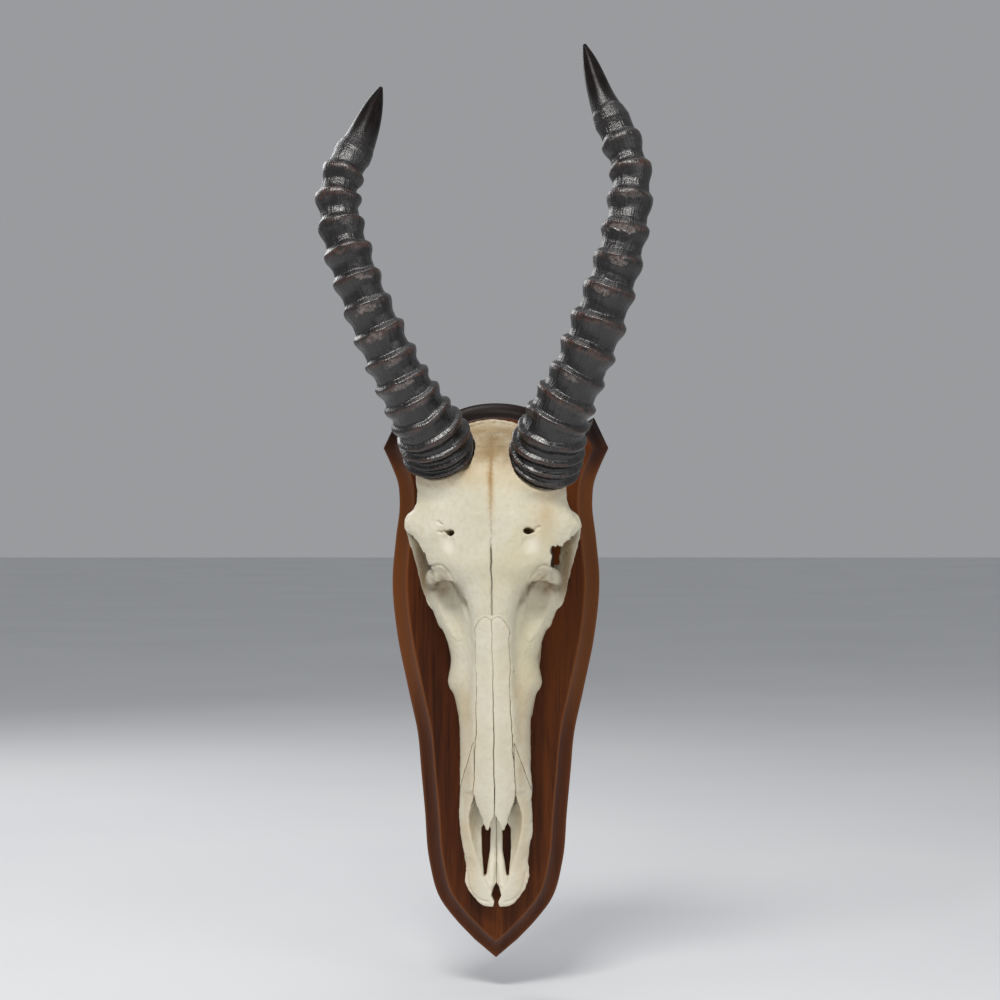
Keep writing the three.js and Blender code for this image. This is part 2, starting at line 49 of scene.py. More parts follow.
# Most triangles of each piece that is thinned, and the rows along and round each horn
PLAQUE_TRIANGLES = 140000
SKULL_TRIANGLES = 195000
NASAL_TRIANGLES = 40000
PREMAXILLA_TRIANGLES = 60000
TEETH_TRIANGLES = 60000
HORN_ROWS = 480
HORN_SIDES = 128

# Low and high corners and cell sizes of the grids, and the blend of a cut with sharp edges
SKULL_ROOM = ((-77, 19, -190), (77, 129, 220))
TEETH_ROOM = ((-40, 21, -26), (40, 52, 68))
PLAQUE_ROOM = ((-98, -1.2, -237), (98, 21.2, 238))
SKULL_CELL = 0.75
TEETH_CELL = 0.5
PLAQUE_CELL = 0.6
SHARP = 0.0001
LOFT_END_BLEND = 1.0

# Where a place looks for bone hanging over it, for the painted shadow under overhangs: side, depth, height
OVERHANG = (0.0, 6.5, 7.0)

# The skull stands turned a little about an upright line, so its ridge leans to the viewer's left
SKULL_TURN = math.radians(-2.8)
SKULL_AXIS_X = -1.0
SKULL_AXIS_DEPTH = 60.0

# Lofts along the skull: height, half width, front depth, back depth, squareness
JAWS = [
    (-187, 10, 33.5, 26, 3), (-184.5, 14.5, 34.5, 26, 3), (-180, 18.6, 35.5, 26, 2.8),
    (-173.5, 23.4, 37, 25.5, 2.6), (-167, 26, 38.3, 25.5, 2.5), (-150, 26.2, 40.5, 26, 2.4),
    (-140, 26.8, 43.5, 26, 2.4), (-133, 28.4, 45.5, 26, 2.3), (-124, 29.8, 48, 26, 2.3),
    (-112, 30.3, 51.5, 26, 2.3), (-98, 30.2, 56, 27, 2.3), (-80, 29.6, 62, 27, 2.3),
    (-60, 29.3, 68.5, 28, 2.3), (-40, 29.4, 73, 29, 2.2), (-26, 29.9, 76.5, 30, 2.2),
    (-19, 31.2, 78, 31, 2.2), (-12.8, 32.7, 79, 31.5, 2.1), (-6, 34.9, 80, 32, 2.1),
    (-2, 37.4, 80.4, 32, 2), (3, 38.6, 81, 32, 2), (9, 38, 81.6, 32.5, 2), (15, 36.9, 82.6, 33, 2),
    (22, 36.2, 84, 33, 2), (30, 37.4, 86, 34, 2), (40, 40.2, 88, 35, 2), (53.6, 45.6, 90, 36, 2),
    (66, 50.6, 90, 38, 2), (84, 54, 86, 42, 2.2), (98, 40, 80, 46, 2.2),
]
FACE_BRIDGE = [
    (-86, 19, 64.5, 44, 3.4), (-60, 19.4, 72.5, 46, 3.4), (0, 18.6, 88.5, 48, 3.2),
    (40, 18, 100, 50, 3.1), (58, 19.5, 105.5, 52, 3), (76, 24, 110, 54, 3), (90, 31, 113.5, 56, 3.2),
    (104, 45, 117, 60, 3), (120, 46, 119, 60, 2.6), (140, 44, 121, 60, 2.4),
]
FRONTAL = [
    (76, 24, 96, 84, 2.4), (86, 36, 107, 82, 2.4), (98, 49, 115, 80, 2.4), (112, 60, 118, 74, 2.3),
    (124, 68, 120, 72, 2.3), (132, 71.3, 121, 74, 2.2), (140, 66.5, 122, 78, 2.2),
    (150, 61.5, 123, 76, 2.2), (162, 60, 123.5, 74, 2.2), (174, 56, 123, 76, 2.2),
    (186, 46, 120, 80, 2.2),
]
BRAINCASE = [
    (118, 34, 112, 48, 2.2), (140, 41, 121, 42, 2.2), (165, 44, 123.5, 38, 2.2), (184, 44, 121, 37, 2.2),
    (197, 42, 114, 38, 2.2), (206, 37, 99, 40, 2.2), (212, 29, 84, 44, 2.2), (216, 14, 77, 56, 2.2),
]
SKULL_BASE = [
    (66, 14, 60, 40, 2.5), (96, 15, 60, 36, 2.5), (140, 16, 60, 33, 2.5), (176, 17, 60, 30, 2.5),
    (204, 15, 60, 30, 2.5), (211, 12, 56, 34, 2.5),
]
# The open nose: a trough between the front jaw bones that runs in under the nose bones
NOSE_TROUGH = [
    (-178, 3, 70, 33.4, 2.2), (-170, 8.5, 70, 31.6, 2.3), (-160, 13, 70, 31, 2.4),
    (-150, 16, 72, 31, 2.5), (-139, 18.6, 74, 31.5, 2.6), (-127, 21, 76, 32, 2.6),
    (-117, 22.6, 78, 33, 2.6), (-107, 21.8, 78, 34.5, 2.6), (-100, 18.8, 78, 35.8, 2.6),
    (-94, 16, 76, 36.8, 2.6), (-88, 13.4, 66, 38, 2.6), (-80, 13, 60, 39, 2.5), (-60, 13, 66, 41, 2.4),
    (-20, 9, 76, 48, 2.2),
]

# Bars of bone: points as side, depth, height
CHEEK_ARCH = [
    (44, 58, 56), (51, 54, 76), (56, 52, 94), (60, 51, 120), (56, 50, 144), (50, 48, 164), (38, 52, 184),
]
EYE_BAR = [
    (64, 96, 136), (64.5, 84, 131), (62.5, 74, 121), (59, 68, 109), (56, 64, 96), (53, 62, 84),
    (50, 62, 70),
]
EYE_FRONT_RIM = [(31, 106, 93), (38.5, 102, 94.5), (45, 93, 93), (50, 80, 90), (51.5, 66, 87)]
EYE_WALL = [(44, 74, 126), (42, 58, 112), (40, 50, 96)]

# The edge of the forehead over each eye, seen from the front: side, height
LEFT_BROW_EDGE = [
    (74, 128), (70.6, 125.4), (68.8, 127.2), (67.2, 121.4), (65.6, 124.6), (64.2, 118.6), (62.8, 121.6),
    (61.6, 115.6), (60, 119), (58.8, 113.4), (57.2, 116.2), (56, 110.4), (54, 111.4), (52.6, 106),
    (51.2, 101), (50, 96),
]
RIGHT_BROW_EDGE = [
    (75, 129.4), (71.6, 126.8), (68.6, 121.4), (66.8, 123), (64.8, 118.6), (62.6, 120.8), (61, 116),
    (58.4, 118.4), (56.6, 114.6), (55.4, 116.8), (54.2, 112.8), (53.6, 106), (52.6, 99), (54, 97.4),
]
RIGHT_BROW_HOLE = [
    (47.4, 114.8), (49.4, 116.6), (51.4, 115), (53, 117.2), (54.6, 115.2), (54.6, 110), (53.4, 106),
    (54, 101.8), (51.6, 99), (49.4, 100.2), (47, 98.6), (47.4, 104), (48.6, 108), (47, 111),
]

# What is open below the ledge under each eye, seen from the front: side, height
LEFT_LEDGE_EDGE = [
    (-48.6, 81.6), (-47.2, 83.8), (-45.8, 82.9), (-44.2, 85.6), (-42.6, 84.7), (-41, 87), (-39.4, 86.2),
    (-37.6, 88.4), (-35.6, 87.3), (-33.8, 88.3), (-31.8, 87), (-30.2, 84.4), (-29.4, 79), (-29.6, 70),
    (-38, 64), (-46, 70),
]
RIGHT_LEDGE_EDGE = [
    (50.8, 82.4), (49, 84.6), (47, 83.7), (45, 85.8), (43.2, 84.9), (41, 86.6), (39, 86), (36.8, 88),
    (34.6, 87), (32.2, 87.4), (30.4, 85), (28.8, 83.4), (28.2, 77), (29, 70), (38, 64), (47, 70),
]

# Cheek teeth, front to back: length along the row, width across it
TEETH = [(9, 8), (11, 10), (12, 11.5), (16, 13), (18.5, 14), (19, 13)]
TOOTH_ROW_FOOT = -24.0
TOOTH_ROW_SIDE = (24.0, 31.0)
TOOTH_SPACE = 0.6
BITE_DEPTH = 22.4
TOOTH_ROOT_DEPTH = 50.0

# Nose bones: height, outer edge from the midline, depth of the top surface
NASAL = [
    (58.5, 9, 105.4), (54, 12.4, 104.3), (40, 13.4, 100.3), (16, 13.8, 93.4), (-20, 13.9, 84),
    (-50, 15, 76), (-70, 16.3, 70.5), (-92, 16.9, 63.6), (-102, 14.6, 60), (-112, 10.8, 56.8),
    (-120.5, 7.4, 54),
]
NASAL_THICK = 3.4
NASAL_DROOP = 3.8
NASAL_GAP = 0.3

# Gap in the palate on each side of the midline, seen from the front
PALATE_SLOT = [(4.6, -122), (5.4, -140), (8.4, -160.8), (10.6, -161), (12.2, -142), (12.4, -121), (9, -116)]
CHIN_NOTCH = [(0, -166.5), (2.2, -170.4), (4.4, -177.4), (1.9, -183), (3.2, -190), (0, -190)]

# The gap beside the end of each nose bone, seen from the front
BESIDE_NASAL_TIPS = [
    (16.7, -86), (16.5, -91), (15.8, -95.4), (15, -98.8), (13.6, -101.6), (12.2, -106), (10.4, -110.2),
    (9.8, -115), (8.2, -117.8), (7.6, -121), (12, -132), (21, -120), (21.4, -108), (19.9, -100.5),
    (18.2, -94.5), (17, -89),
]

# The slanting seam between the upper jaw and the front jaw bones: side, height
SEAM_TOP = (18.0, -50.0)
SEAM_FOOT = (30.0, -88.0)
SEAM_INNER = -100.0
SEAM_GAP = 0.16
FRONT_JAW_SIDE = 33
FRONT_JAW_DEPTH = 80
MIDDLE_SEAM_HALF_GAP = 0.18

# Horns: middle line as side, depth from the wall and height, and the half width at each point.
# These and the plaque are given straight on the wall, without the skull's turn.
HORN_RIGHT_LINE = [
    (38.5, 103.5, 179), (43, 118, 200), (50.3, 128, 221), (63.5, 137, 249), (80.7, 143.5, 292),
    (96.5, 144, 341.5), (105.3, 137.5, 382.7), (107.5, 128.5, 413.3), (99.3, 119, 442.5),
    (86.1, 110.5, 473.4), (73.9, 104.5, 512.2), (71.4, 104, 520.1),
]
HORN_RIGHT_HALF = [29.6, 30, 27, 24.2, 22.8, 20.5, 19.3, 17.8, 16.2, 11, 4.2, 1.4]
HORN_LEFT_LINE = [
    (-44.8, 103, 187), (-49, 116, 203), (-60.2, 127, 222), (-76, 136.5, 251), (-93.9, 143, 289),
    (-112.3, 143, 335.5), (-123.2, 135.5, 376.7), (-124.7, 129, 399), (-120, 122.5, 417.4),
    (-110.1, 116, 437.3), (-95.1, 107.5, 477.3), (-92.2, 106.5, 485.2),
]
HORN_LEFT_HALF = [29.4, 29.8, 26.4, 23, 21.4, 20, 19, 17.8, 16.6, 13.4, 4.8, 1.4]
HORNS = [(HORN_RIGHT_LINE, HORN_RIGHT_HALF, "right"), (HORN_LEFT_LINE, HORN_LEFT_HALF, "left")]
HORN_SEEDS = [7, 17]
HORN_SEAT_GAP = 0.35
HORN_RINGS = 16
RING_HEIGHT = 3.91
TIP_SWELL = 1.19
RING_RUN = 0.85
RING_CREST = 0.68
RING_CROWDED = 10
RING_CLOSEST = 0.3
HORN_SEAT_TILT = math.radians(40)
HORN_SEAT_ROLL = {"right": math.radians(20), "left": math.radians(-15)}
FOOT_BLEND = 0.12

# Plaque outline, right half, from the apex down: side, height
PLAQUE_THICK = 20.0
PLAQUE_TOP = 235.0
PLAQUE_FOOT = -234.4
ARCH_SHOULDER = (56, 213)
ARCH_REACH = 34
EAR_DIP = (70, 214)
EAR_TOP = (83, 223)
EAR_TIP = (95.3, 197)
PLAQUE_SIDE = [
    (95.3, 197), (88, 181), (83.2, 168), (81.6, 150), (84.6, 122), (87.6, 85), (83.6, 40), (74, -8),
    (66, -46), (63.4, -75), (60.2, -110), (56.5, -152), (47.5, -184), (34.3, -202), (18.2, -219),
]
# Moulding: distance in from the edge, depth from the wall
MOULDING = [
    (0.4, 0.0), (0.0, 0.6), (0.0, 7.2), (0.5, 8.2), (1.6, 8.9), (3.6, 9.8), (6.0, 11.3), (8.2, 13.3),
    (10.0, 15.7), (11.2, 17.7), (11.7, 18.7), (12.4, 19.4), (13.4, 19.85), (15.0, 20.0),
]


# Curves through given rows

def hermite(keys, values, at):
    """Values at the places in `at`, on a smooth curve through rows of values."""
    keys = np.asarray(keys, float)
    values = np.asarray(values, float)
    slopes = np.gradient(values, keys, axis=0)
    i = np.clip(np.searchsorted(keys, at) - 1, 0, len(keys) - 2)
    span = keys[i + 1] - keys[i]
    t = ((np.asarray(at) - keys[i]) / span)[:, None]
    step = span[:, None]
    return (
        values[i] * (2 * t**3 - 3 * t**2 + 1) + slopes[i] * step * (t**3 - 2 * t**2 + t)
        + values[i + 1] * (3 * t**2 - 2 * t**3) + slopes[i + 1] * step * (t**3 - t**2)
    )


def along_rows(rows, at):
    rows = sorted(rows)
    return hermite([r[0] for r in rows], [r[1:] for r in rows], at)


def smooth_path(points, count):
    """The points of a smooth curve through `points`, evenly spaced in the parameter."""
    points = np.asarray(points, float)
    gaps = np.linalg.norm(np.diff(points, axis=0), axis=1)
    keys = np.concatenate([[0], np.cumsum(gaps)])
    return hermite(keys, points, np.linspace(0, keys[-1], count))


def smooth_step(value, low, high):
    t = np.clip((value - low) / (high - low), 0, 1)
    return t * t * (3 - 2 * t)


# Noise on a repeating lattice

def lattice_noise(points, scale, seed):
    """Smooth noise from -1 to 1 at points, with lumps about `scale` wide."""
    size = 32
    lattice = np.random.default_rng(seed).uniform(-1, 1, (size, size, size)).astype(np.float32)
    p = points / scale
    base = np.floor(p).astype(int)
    t = p - base
    t = t * t * (3 - 2 * t)
    total = np.zeros(len(points))
    for corner in np.ndindex(2, 2, 2):
        cell = (base + corner) % size
        total += lattice[cell[:, 0], cell[:, 1], cell[:, 2]] * np.where(corner, t, 1 - t).prod(axis=1)
    return total


def layered_noise(points, scale, seed, layers=3):
    total = np.zeros(len(points))
    for layer in range(layers):
        total += lattice_noise(points, scale / 2**layer, seed + layer) / 2**layer
    return total / (2 - 2 ** (1 - layers))


# Distance fields: negative inside, in millimetres

def soft_union(a, b, blend):
    near = np.clip(0.5 + 0.5 * (b - a) / blend, 0, 1)
    return b + (a - b) * near - blend * near * (1 - near)


def soft_cut(a, b, blend):
    return -soft_union(-a, b, blend)


def egg(middle, half):
    """An ellipsoid's field."""
    def field(x, d, z):
        p = [(x - middle[0]) / half[0], (d - middle[1]) / half[1], (z - middle[2]) / half[2]]
        reach = np.sqrt(p[0] ** 2 + p[1] ** 2 + p[2] ** 2) + 1e-6
        steep = np.sqrt((p[0] / half[0]) ** 2 + (p[1] / half[1]) ** 2 + (p[2] / half[2]) ** 2) + 1e-6
        return reach * (reach - 1) / steep
    low = [m - h for m, h in zip(middle, half)]
    high = [m + h for m, h in zip(middle, half)]
    return field, low, high


def limb(points, radii, stretch=(1, 1, 1), count=None):
    """A bar along a smooth curve, with a radius at each end of each stretch."""
    count = count or len(points) * 4
    path = smooth_path(points, count)
    sizes = np.interp(np.linspace(0, 1, count), np.linspace(0, 1, len(radii)), radii)
    scale = 1 / np.asarray(stretch, float)

    def field(x, d, z):
        best = None
        for i in range(count - 1):
            a = path[i] * scale
            ab = (path[i + 1] - path[i]) * scale
            q = [x * scale[0] - a[0], d * scale[1] - a[1], z * scale[2] - a[2]]
            t = np.clip((q[0] * ab[0] + q[1] * ab[1] + q[2] * ab[2]) / (ab @ ab), 0, 1)
            gap = np.sqrt((q[0] - t * ab[0]) ** 2 + (q[1] - t * ab[1]) ** 2 + (q[2] - t * ab[2]) ** 2)
            here = (gap - (sizes[i] + t * (sizes[i + 1] - sizes[i]))) * min(stretch)
            best = here if best is None else np.minimum(best, here)
        return best

    reach = max(radii) * np.asarray(stretch, float)
    return field, list(path.min(0) - reach), list(path.max(0) + reach)


def loft(rows):
    """A body along the height whose sections are rounded boxes between two depths."""
    rows = sorted(rows)

    def field(x, d, z):
        shape = along_rows(rows, np.clip(z.ravel(), rows[0][0], rows[-1][0]))
        half, front, back, square = (shape[:, k].reshape(z.shape) for k in range(4))
        deep = (front - back) / 2
        across = np.abs(x / half) ** square + np.abs((d - back - deep) / deep) ** square
        inside = (across ** (1 / square) - 1) * np.minimum(half, deep)
        ends = np.maximum(rows[0][0] - z, z - rows[-1][0])
        return -soft_union(-inside, -ends, LOFT_END_BLEND)

    widest = max(r[1] for r in rows)
    low = [-widest, min(r[3] for r in rows), rows[0][0]]
    return field, low, [widest, max(r[2] for r in rows), rows[-1][0]]


def outline_distance(points, x, z):
    """Signed distance to a closed outline in the front view, negative inside."""
    best = np.full(np.broadcast(x, z).shape, 1e9, np.float32)
    inside = np.zeros(best.shape, bool)
    for (ax, az), (bx, bz) in zip(points, points[1:] + points[:1]):
        ex, ez = bx - ax, bz - az
        t = np.clip(((x - ax) * ex + (z - az) * ez) / (ex * ex + ez * ez + 1e-9), 0, 1)
        best = np.minimum(best, (x - ax - t * ex) ** 2 + (z - az - t * ez) ** 2)
        crosses = (z >= min(az, bz)) & (z < max(az, bz))
        if ez:
            inside ^= crosses & (x < ax + (z - az) * ex / ez)
    gap = np.sqrt(best)
    return np.where(inside, -gap, gap)


def slab(points, depths):
    """A plate with an outline in the front view, between two depths."""
    def field(x, d, z):
        flat = outline_distance(points, x, z)
        deep = np.abs(d - (depths[0] + depths[1]) / 2) - abs(depths[1] - depths[0]) / 2
        outside = np.sqrt(np.maximum(flat, 0) ** 2 + np.maximum(deep, 0) ** 2)
        return outside + np.minimum(np.maximum(flat, deep), 0)
    xs, zs = zip(*points)
    return field, [min(xs), min(depths), min(zs)], [max(xs), max(depths), max(zs)]


def mirrored(shape_maker, points, *values, **named):
    """Both sides of a shape whose first value is a place, or places, on the right side."""
    if isinstance(points, tuple):
        flipped = (-points[0], points[1], points[2])
    else:
        flipped = [(-x, d, z) for x, d, z in points]
    return [shape_maker(points, *values, **named), shape_maker(flipped, *values, **named)]


def on_side(points, side):
    """Front-view points given for the right side, put on one side."""
    return [(side * x, z) for x, z in points]


class Clay:
    """A block of grid cells that fields are added to and carved from."""

    def __init__(self, low, high, cell):
        self.low = np.asarray(low, float)
        self.cell = cell
        count = np.ceil((np.asarray(high) - self.low) / cell).astype(int) + 1
        self.field = np.full(count, 12.0, np.float32)

    def block(self, low, high, margin):
        first = np.floor((np.asarray(low) - margin - self.low) / self.cell).astype(int)
        last = np.ceil((np.asarray(high) + margin - self.low) / self.cell).astype(int) + 1
        first = np.clip(first, 0, self.field.shape)
        last = np.clip(last, 0, self.field.shape)
        where = tuple(slice(a, b) for a, b in zip(first, last))
        grid = [self.low[k] + self.cell * np.arange(first[k], last[k]) for k in range(3)]
        x, d, z = (values.astype(np.float32) for values in grid)
        return where, x[:, None, None], d[None, :, None], z[None, None, :]

    def change(self, rule, shape, blend):
        field, low, high = shape
        where, x, d, z = self.block(low, high, blend + 2)
        self.field[where] = rule(self.field[where], field(x, d, z), blend)

    def add(self, shape, blend):
        self.change(soft_union, shape, blend)

    def carve(self, shape, blend):
        self.change(soft_cut, shape, blend)

    def add_pair(self, blend, *values, **named):
        for shape in mirrored(*values, **named):
            self.add(shape, blend)

    def carve_pair(self, blend, *values, **named):
        for shape in mirrored(*values, **named):
            self.carve(shape, blend)

    def meet(self, shape):
        """Keeps only what lies within a field too."""
        field, _, _ = shape
        where, x, d, z = self.block(self.low, self.low + self.cell * np.array(self.field.shape), 0)
        self.field[where] = np.maximum(self.field[where], field(x, d, z))

    def part(self, low, high):
        """A copy of one corner of the clay, with cells half the size."""
        where, x, d, z = self.block(low, high, 2)
        values = self.field[where]
        for axis in range(3):
            values = np.moveaxis(values, axis, 0)
            between = (values[:-1] + values[1:]) / 2
            finer = np.empty((values.shape[0] * 2 - 1, *values.shape[1:]), np.float32)
            finer[0::2] = values
            finer[1::2] = between
            values = np.moveaxis(finer, 0, axis)
        piece = Clay.__new__(Clay)
        piece.low = np.array([x.min(), d.min(), z.min()], float)
        piece.cell = self.cell / 2
        piece.field = np.ascontiguousarray(values)
        return piece

    def front(self, x, z):
        """Depth of the surface that is seen from the front at a side and height."""
        i = int(round((x - self.low[0]) / self.cell))
        k = int(round((z - self.low[2]) / self.cell))
        column = self.field[i, :, k]
        solid = np.nonzero(column < 0)[0]
        if not len(solid):
            return self.low[1]
        j = min(solid[-1], len(column) - 2)
        step = column[j] / (column[j] - column[j + 1] + 1e-9)
        return self.low[1] + self.cell * (j + step)

    def groove(self, points, radius, sink, blend):
        """A furrow pressed into the front surface along points given as side, height."""
        path = [(x, self.front(x, z) - sink, z) for x, z in points]
        self.carve(limb(path, [radius] * 2, count=max(len(path) * 3, 6)), blend)

    def roughen(self, amount, scale, seed, layers=2, spots=None):
        """Moves the surface by noise, all over or round spots given as middle and half sizes."""
        near = np.abs(self.field) < 3
        cells = np.argwhere(near)
        places = self.low + cells * self.cell
        shares = 1.0
        if spots:
            shares = sum(np.exp(-((((places - middle) / half) ** 2).sum(1))) for middle, half in spots)
        noise = layered_noise(places, scale, seed, layers) * amount * np.minimum(shares, 1)
        self.field[near] += noise.astype(np.float32)

    def bulk(self, radius):
        """Share of solid round each cell: near 1 in hollows, near 0 on thin edges."""
        share = (self.field < 0).astype(np.float32)
        reach = max(1, int(round(radius / self.cell)))
        for axis in range(3):
            pad = [(reach + 1, reach) if k == axis else (0, 0) for k in range(3)]
            total = np.cumsum(np.pad(share, pad, mode="edge"), axis=axis, dtype=np.float32)
            upper = np.take(total, range(2 * reach + 1, total.shape[axis]), axis=axis)
            lower = np.take(total, range(0, total.shape[axis] - 2 * reach - 1), axis=axis)
            share = (upper - lower) / (2 * reach + 1)
        return share

    def sample(self, values, places):
        cells = np.round((places - self.low) / self.cell).astype(int)
        cells = np.clip(cells, 0, np.asarray(values.shape) - 1)
        return values[cells[:, 0], cells[:, 1], cells[:, 2]]

    def skin(self):
        """Vertices in the clay's own frame, and faces."""
        grid = openvdb.FloatGrid(3.0)
        grid.copyFromArray(np.clip(self.field, -3, 3))
        points, quads = grid.convertToQuads(0.0)
        return self.low + points * self.cell, quads


# Meshes

def skull_to_wall(places):
    """From the skull's own frame to the wall's, in metres."""
    x = places[:, 0]
    y = SKULL_AXIS_DEPTH - places[:, 1]
    c, s = math.cos(SKULL_TURN), math.sin(SKULL_TURN)
    turned = np.stack([x * c - y * s + SKULL_AXIS_X, x * s + y * c - SKULL_AXIS_DEPTH, places[:, 2]], 1)
    return turned * MM


def wall_to_skull(places):
    """From metres on the wall back to the skull's own frame."""
    c, s = math.cos(SKULL_TURN), math.sin(SKULL_TURN)
    x = places[:, 0] / MM - SKULL_AXIS_X
    y = places[:, 1] / MM + SKULL_AXIS_DEPTH
    return np.stack([x * c + y * s, SKULL_AXIS_DEPTH - (y * c - x * s), places[:, 2] / MM], 1)


def make_object(name, vertices, faces, material):
    mesh = bpy.data.meshes.new(name)
    if isinstance(faces, np.ndarray):
        sides = faces.shape[1]
        mesh.vertices.add(len(vertices))
        mesh.vertices.foreach_set("co", np.asarray(vertices, np.float32).ravel())
        mesh.loops.add(faces.size)
        mesh.loops.foreach_set("vertex_index", faces.astype(np.int32).ravel())
        mesh.polygons.add(len(faces))
        mesh.polygons.foreach_set("loop_start", np.arange(0, faces.size, sides, dtype=np.int32))
        mesh.update(calc_edges=True)
    else:
        mesh.from_pydata([tuple(v) for v in vertices], [], faces)
    mesh.polygons.foreach_set("use_smooth", np.ones(len(mesh.polygons), bool))
    mesh.materials.append(material)
    piece = bpy.data.objects.new(name, mesh)
    bpy.context.scene.collection.objects.link(piece)
    return piece


def vertex_places(piece):
    places = np.empty(len(piece.data.vertices) * 3, np.float32)
    piece.data.vertices.foreach_get("co", places)
    return places.reshape(-1, 3).astype(float)


def set_mask(piece, name, values):
    """A value from 0 to 1 at each vertex, for the materials."""
    layer = piece.data.attributes.new(name, "FLOAT", "POINT")
    layer.data.foreach_set("value", np.clip(values, 0, 1).astype(np.float32))


def set_vectors(piece, name, values):
    """A vector at each vertex, for the materials."""
    layer = piece.data.attributes.new(name, "FLOAT_VECTOR", "POINT")
    layer.data.foreach_set("vector", values.astype(np.float32).ravel())


def thinned(piece, most):
    """Brings a mesh down to at most `most` triangles."""
    count = sum(len(p.vertices) - 2 for p in piece.data.polygons)
    if count <= most:
        return
    modifier = piece.modifiers.new("thin", "DECIMATE")
    modifier.ratio = most / count
    shaped = piece.evaluated_get(bpy.context.evaluated_depsgraph_get())
    fewer = bpy.data.meshes.new_from_object(shaped)
    piece.modifiers.clear()
    piece.data = fewer
    fewer.polygons.foreach_set("use_smooth", np.ones(len(fewer.polygons), bool))


def bone_piece(name, clay, material, most):
    """A mesh from a block of clay, with masks for painted shade in hollows, in wide hollows and under
    overhangs, and painted light on thin edges.
    """
    places, quads = clay.skin()
    piece = make_object(name, skull_to_wall(places), quads, material)
    thinned(piece, most)
    places = wall_to_skull(vertex_places(piece))
    set_vectors(piece, "own", places)
    hollow = clay.sample(clay.bulk(5.0), places)
    wide = clay.sample(clay.bulk(12.0), places)
    set_mask(piece, "hollow", smooth_step(hollow, 0.54, 0.86))
    set_mask(piece, "edge", smooth_step(hollow, 0.46, 0.2))
    set_mask(piece, "shade", smooth_step(wide, 0.5, 0.82))
    # Painted shadow: how much bone hangs over each place
    above = clay.sample(clay.bulk(3.0), places + OVERHANG)
    set_mask(piece, "under", smooth_step(above, 0.3, 0.9))
    return piece, places


def dress(piece, node):
    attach(piece, "root")
    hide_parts(node)


# Materials

class Nodes:
    """Short calls for building a material's nodes."""

    def __init__(self, name):
        self.material = bpy.data.materials.new(name)
        self.material.use_nodes = True
        self.tree = self.material.node_tree
        self.shader = self.tree.nodes["Principled BSDF"]
        self.places = self.make("ShaderNodeTexCoord").outputs["Object"]

    def make(self, kind, inputs=None, **settings):
        node = self.tree.nodes.new(kind)
        for key, value in settings.items():
            setattr(node, key, value)
        for key, value in (inputs or {}).items():
            self.put(node.inputs[key], value)
        return node

    def put(self, socket, value):
        if isinstance(value, bpy.types.NodeSocket):
            self.tree.links.new(value, socket)
        else:
            socket.default_value = value

    def mask(self, name):
        return self.make("ShaderNodeAttribute", attribute_name=name).outputs["Fac"]

    def vectors(self, name):
        return self.make("ShaderNodeAttribute", attribute_name=name).outputs["Vector"]

    def stretched(self, scale, vector=None):
        inputs = {"Vector": vector or self.places, "Scale": scale}
        return self.make("ShaderNodeMapping", inputs).outputs["Vector"]

    def noise(self, scale, detail=3.0, roughness=0.55, vector=None, distortion=0.0):
        inputs = {"Vector": vector or self.places, "Scale": scale, "Detail": detail}
        inputs.update({"Roughness": roughness, "Distortion": distortion})
        return self.make("ShaderNodeTexNoise", inputs).outputs["Fac"]

    def cells(self, scale):
        inputs = {"Vector": self.places, "Scale": scale}
        return self.make("ShaderNodeTexVoronoi", inputs).outputs["Distance"]

    def math(self, operation, a, b=0.0):
        return self.make("ShaderNodeMath", {0: a, 1: b}, operation=operation).outputs[0]

    def times(self, a, b):
        return self.math("MULTIPLY", a, b)

    def minus(self, a, b):
        return self.math("SUBTRACT", a, b)

    def spread(self, value, low, high, to_low=0.0, to_high=1.0):
        """Maps a range of a value to another, held at both ends."""
        inputs = {"Value": value, "From Min": low, "From Max": high, "To Min": to_low, "To Max": to_high}
        return self.make("ShaderNodeMapRange", inputs, clamp=True).outputs["Result"]

    def mix(self, share, a, b):
        node = self.make("ShaderNodeMix", data_type="RGBA")
        for key, value in (("Factor", share), ("A", a), ("B", b)):
            self.put(node.inputs[key], value)
        return node.outputs["Result"]

    def stain(self, colour, mask, share, *screen):
        """A colour laid over another where a mask is, at a share of its strength: stains, and also painted
        shade and light.
        """
        return self.mix(self.times(self.mask(mask), share), colour, tint(*screen))

    def bump(self, height, strength, distance, normal=None):
        inputs = {"Height": height, "Strength": strength, "Distance": distance}
        if normal:
            inputs["Normal"] = normal
        return self.make("ShaderNodeBump", inputs).outputs["Normal"]

    def finish(self, colour, roughness, normal):
        for key, value in (("Base Color", colour), ("Roughness", roughness), ("Normal", normal)):
            self.put(self.shader.inputs[key], value)
        return self.material


def tint(red, green, blue):
    """A colour given by its screen values from 0 to 255."""
    light = [((v / 255 + 0.055) / 1.055) ** 2.4 if v > 10 else v / 3294 for v in (red, green, blue)]
    return (*light, 1.0)


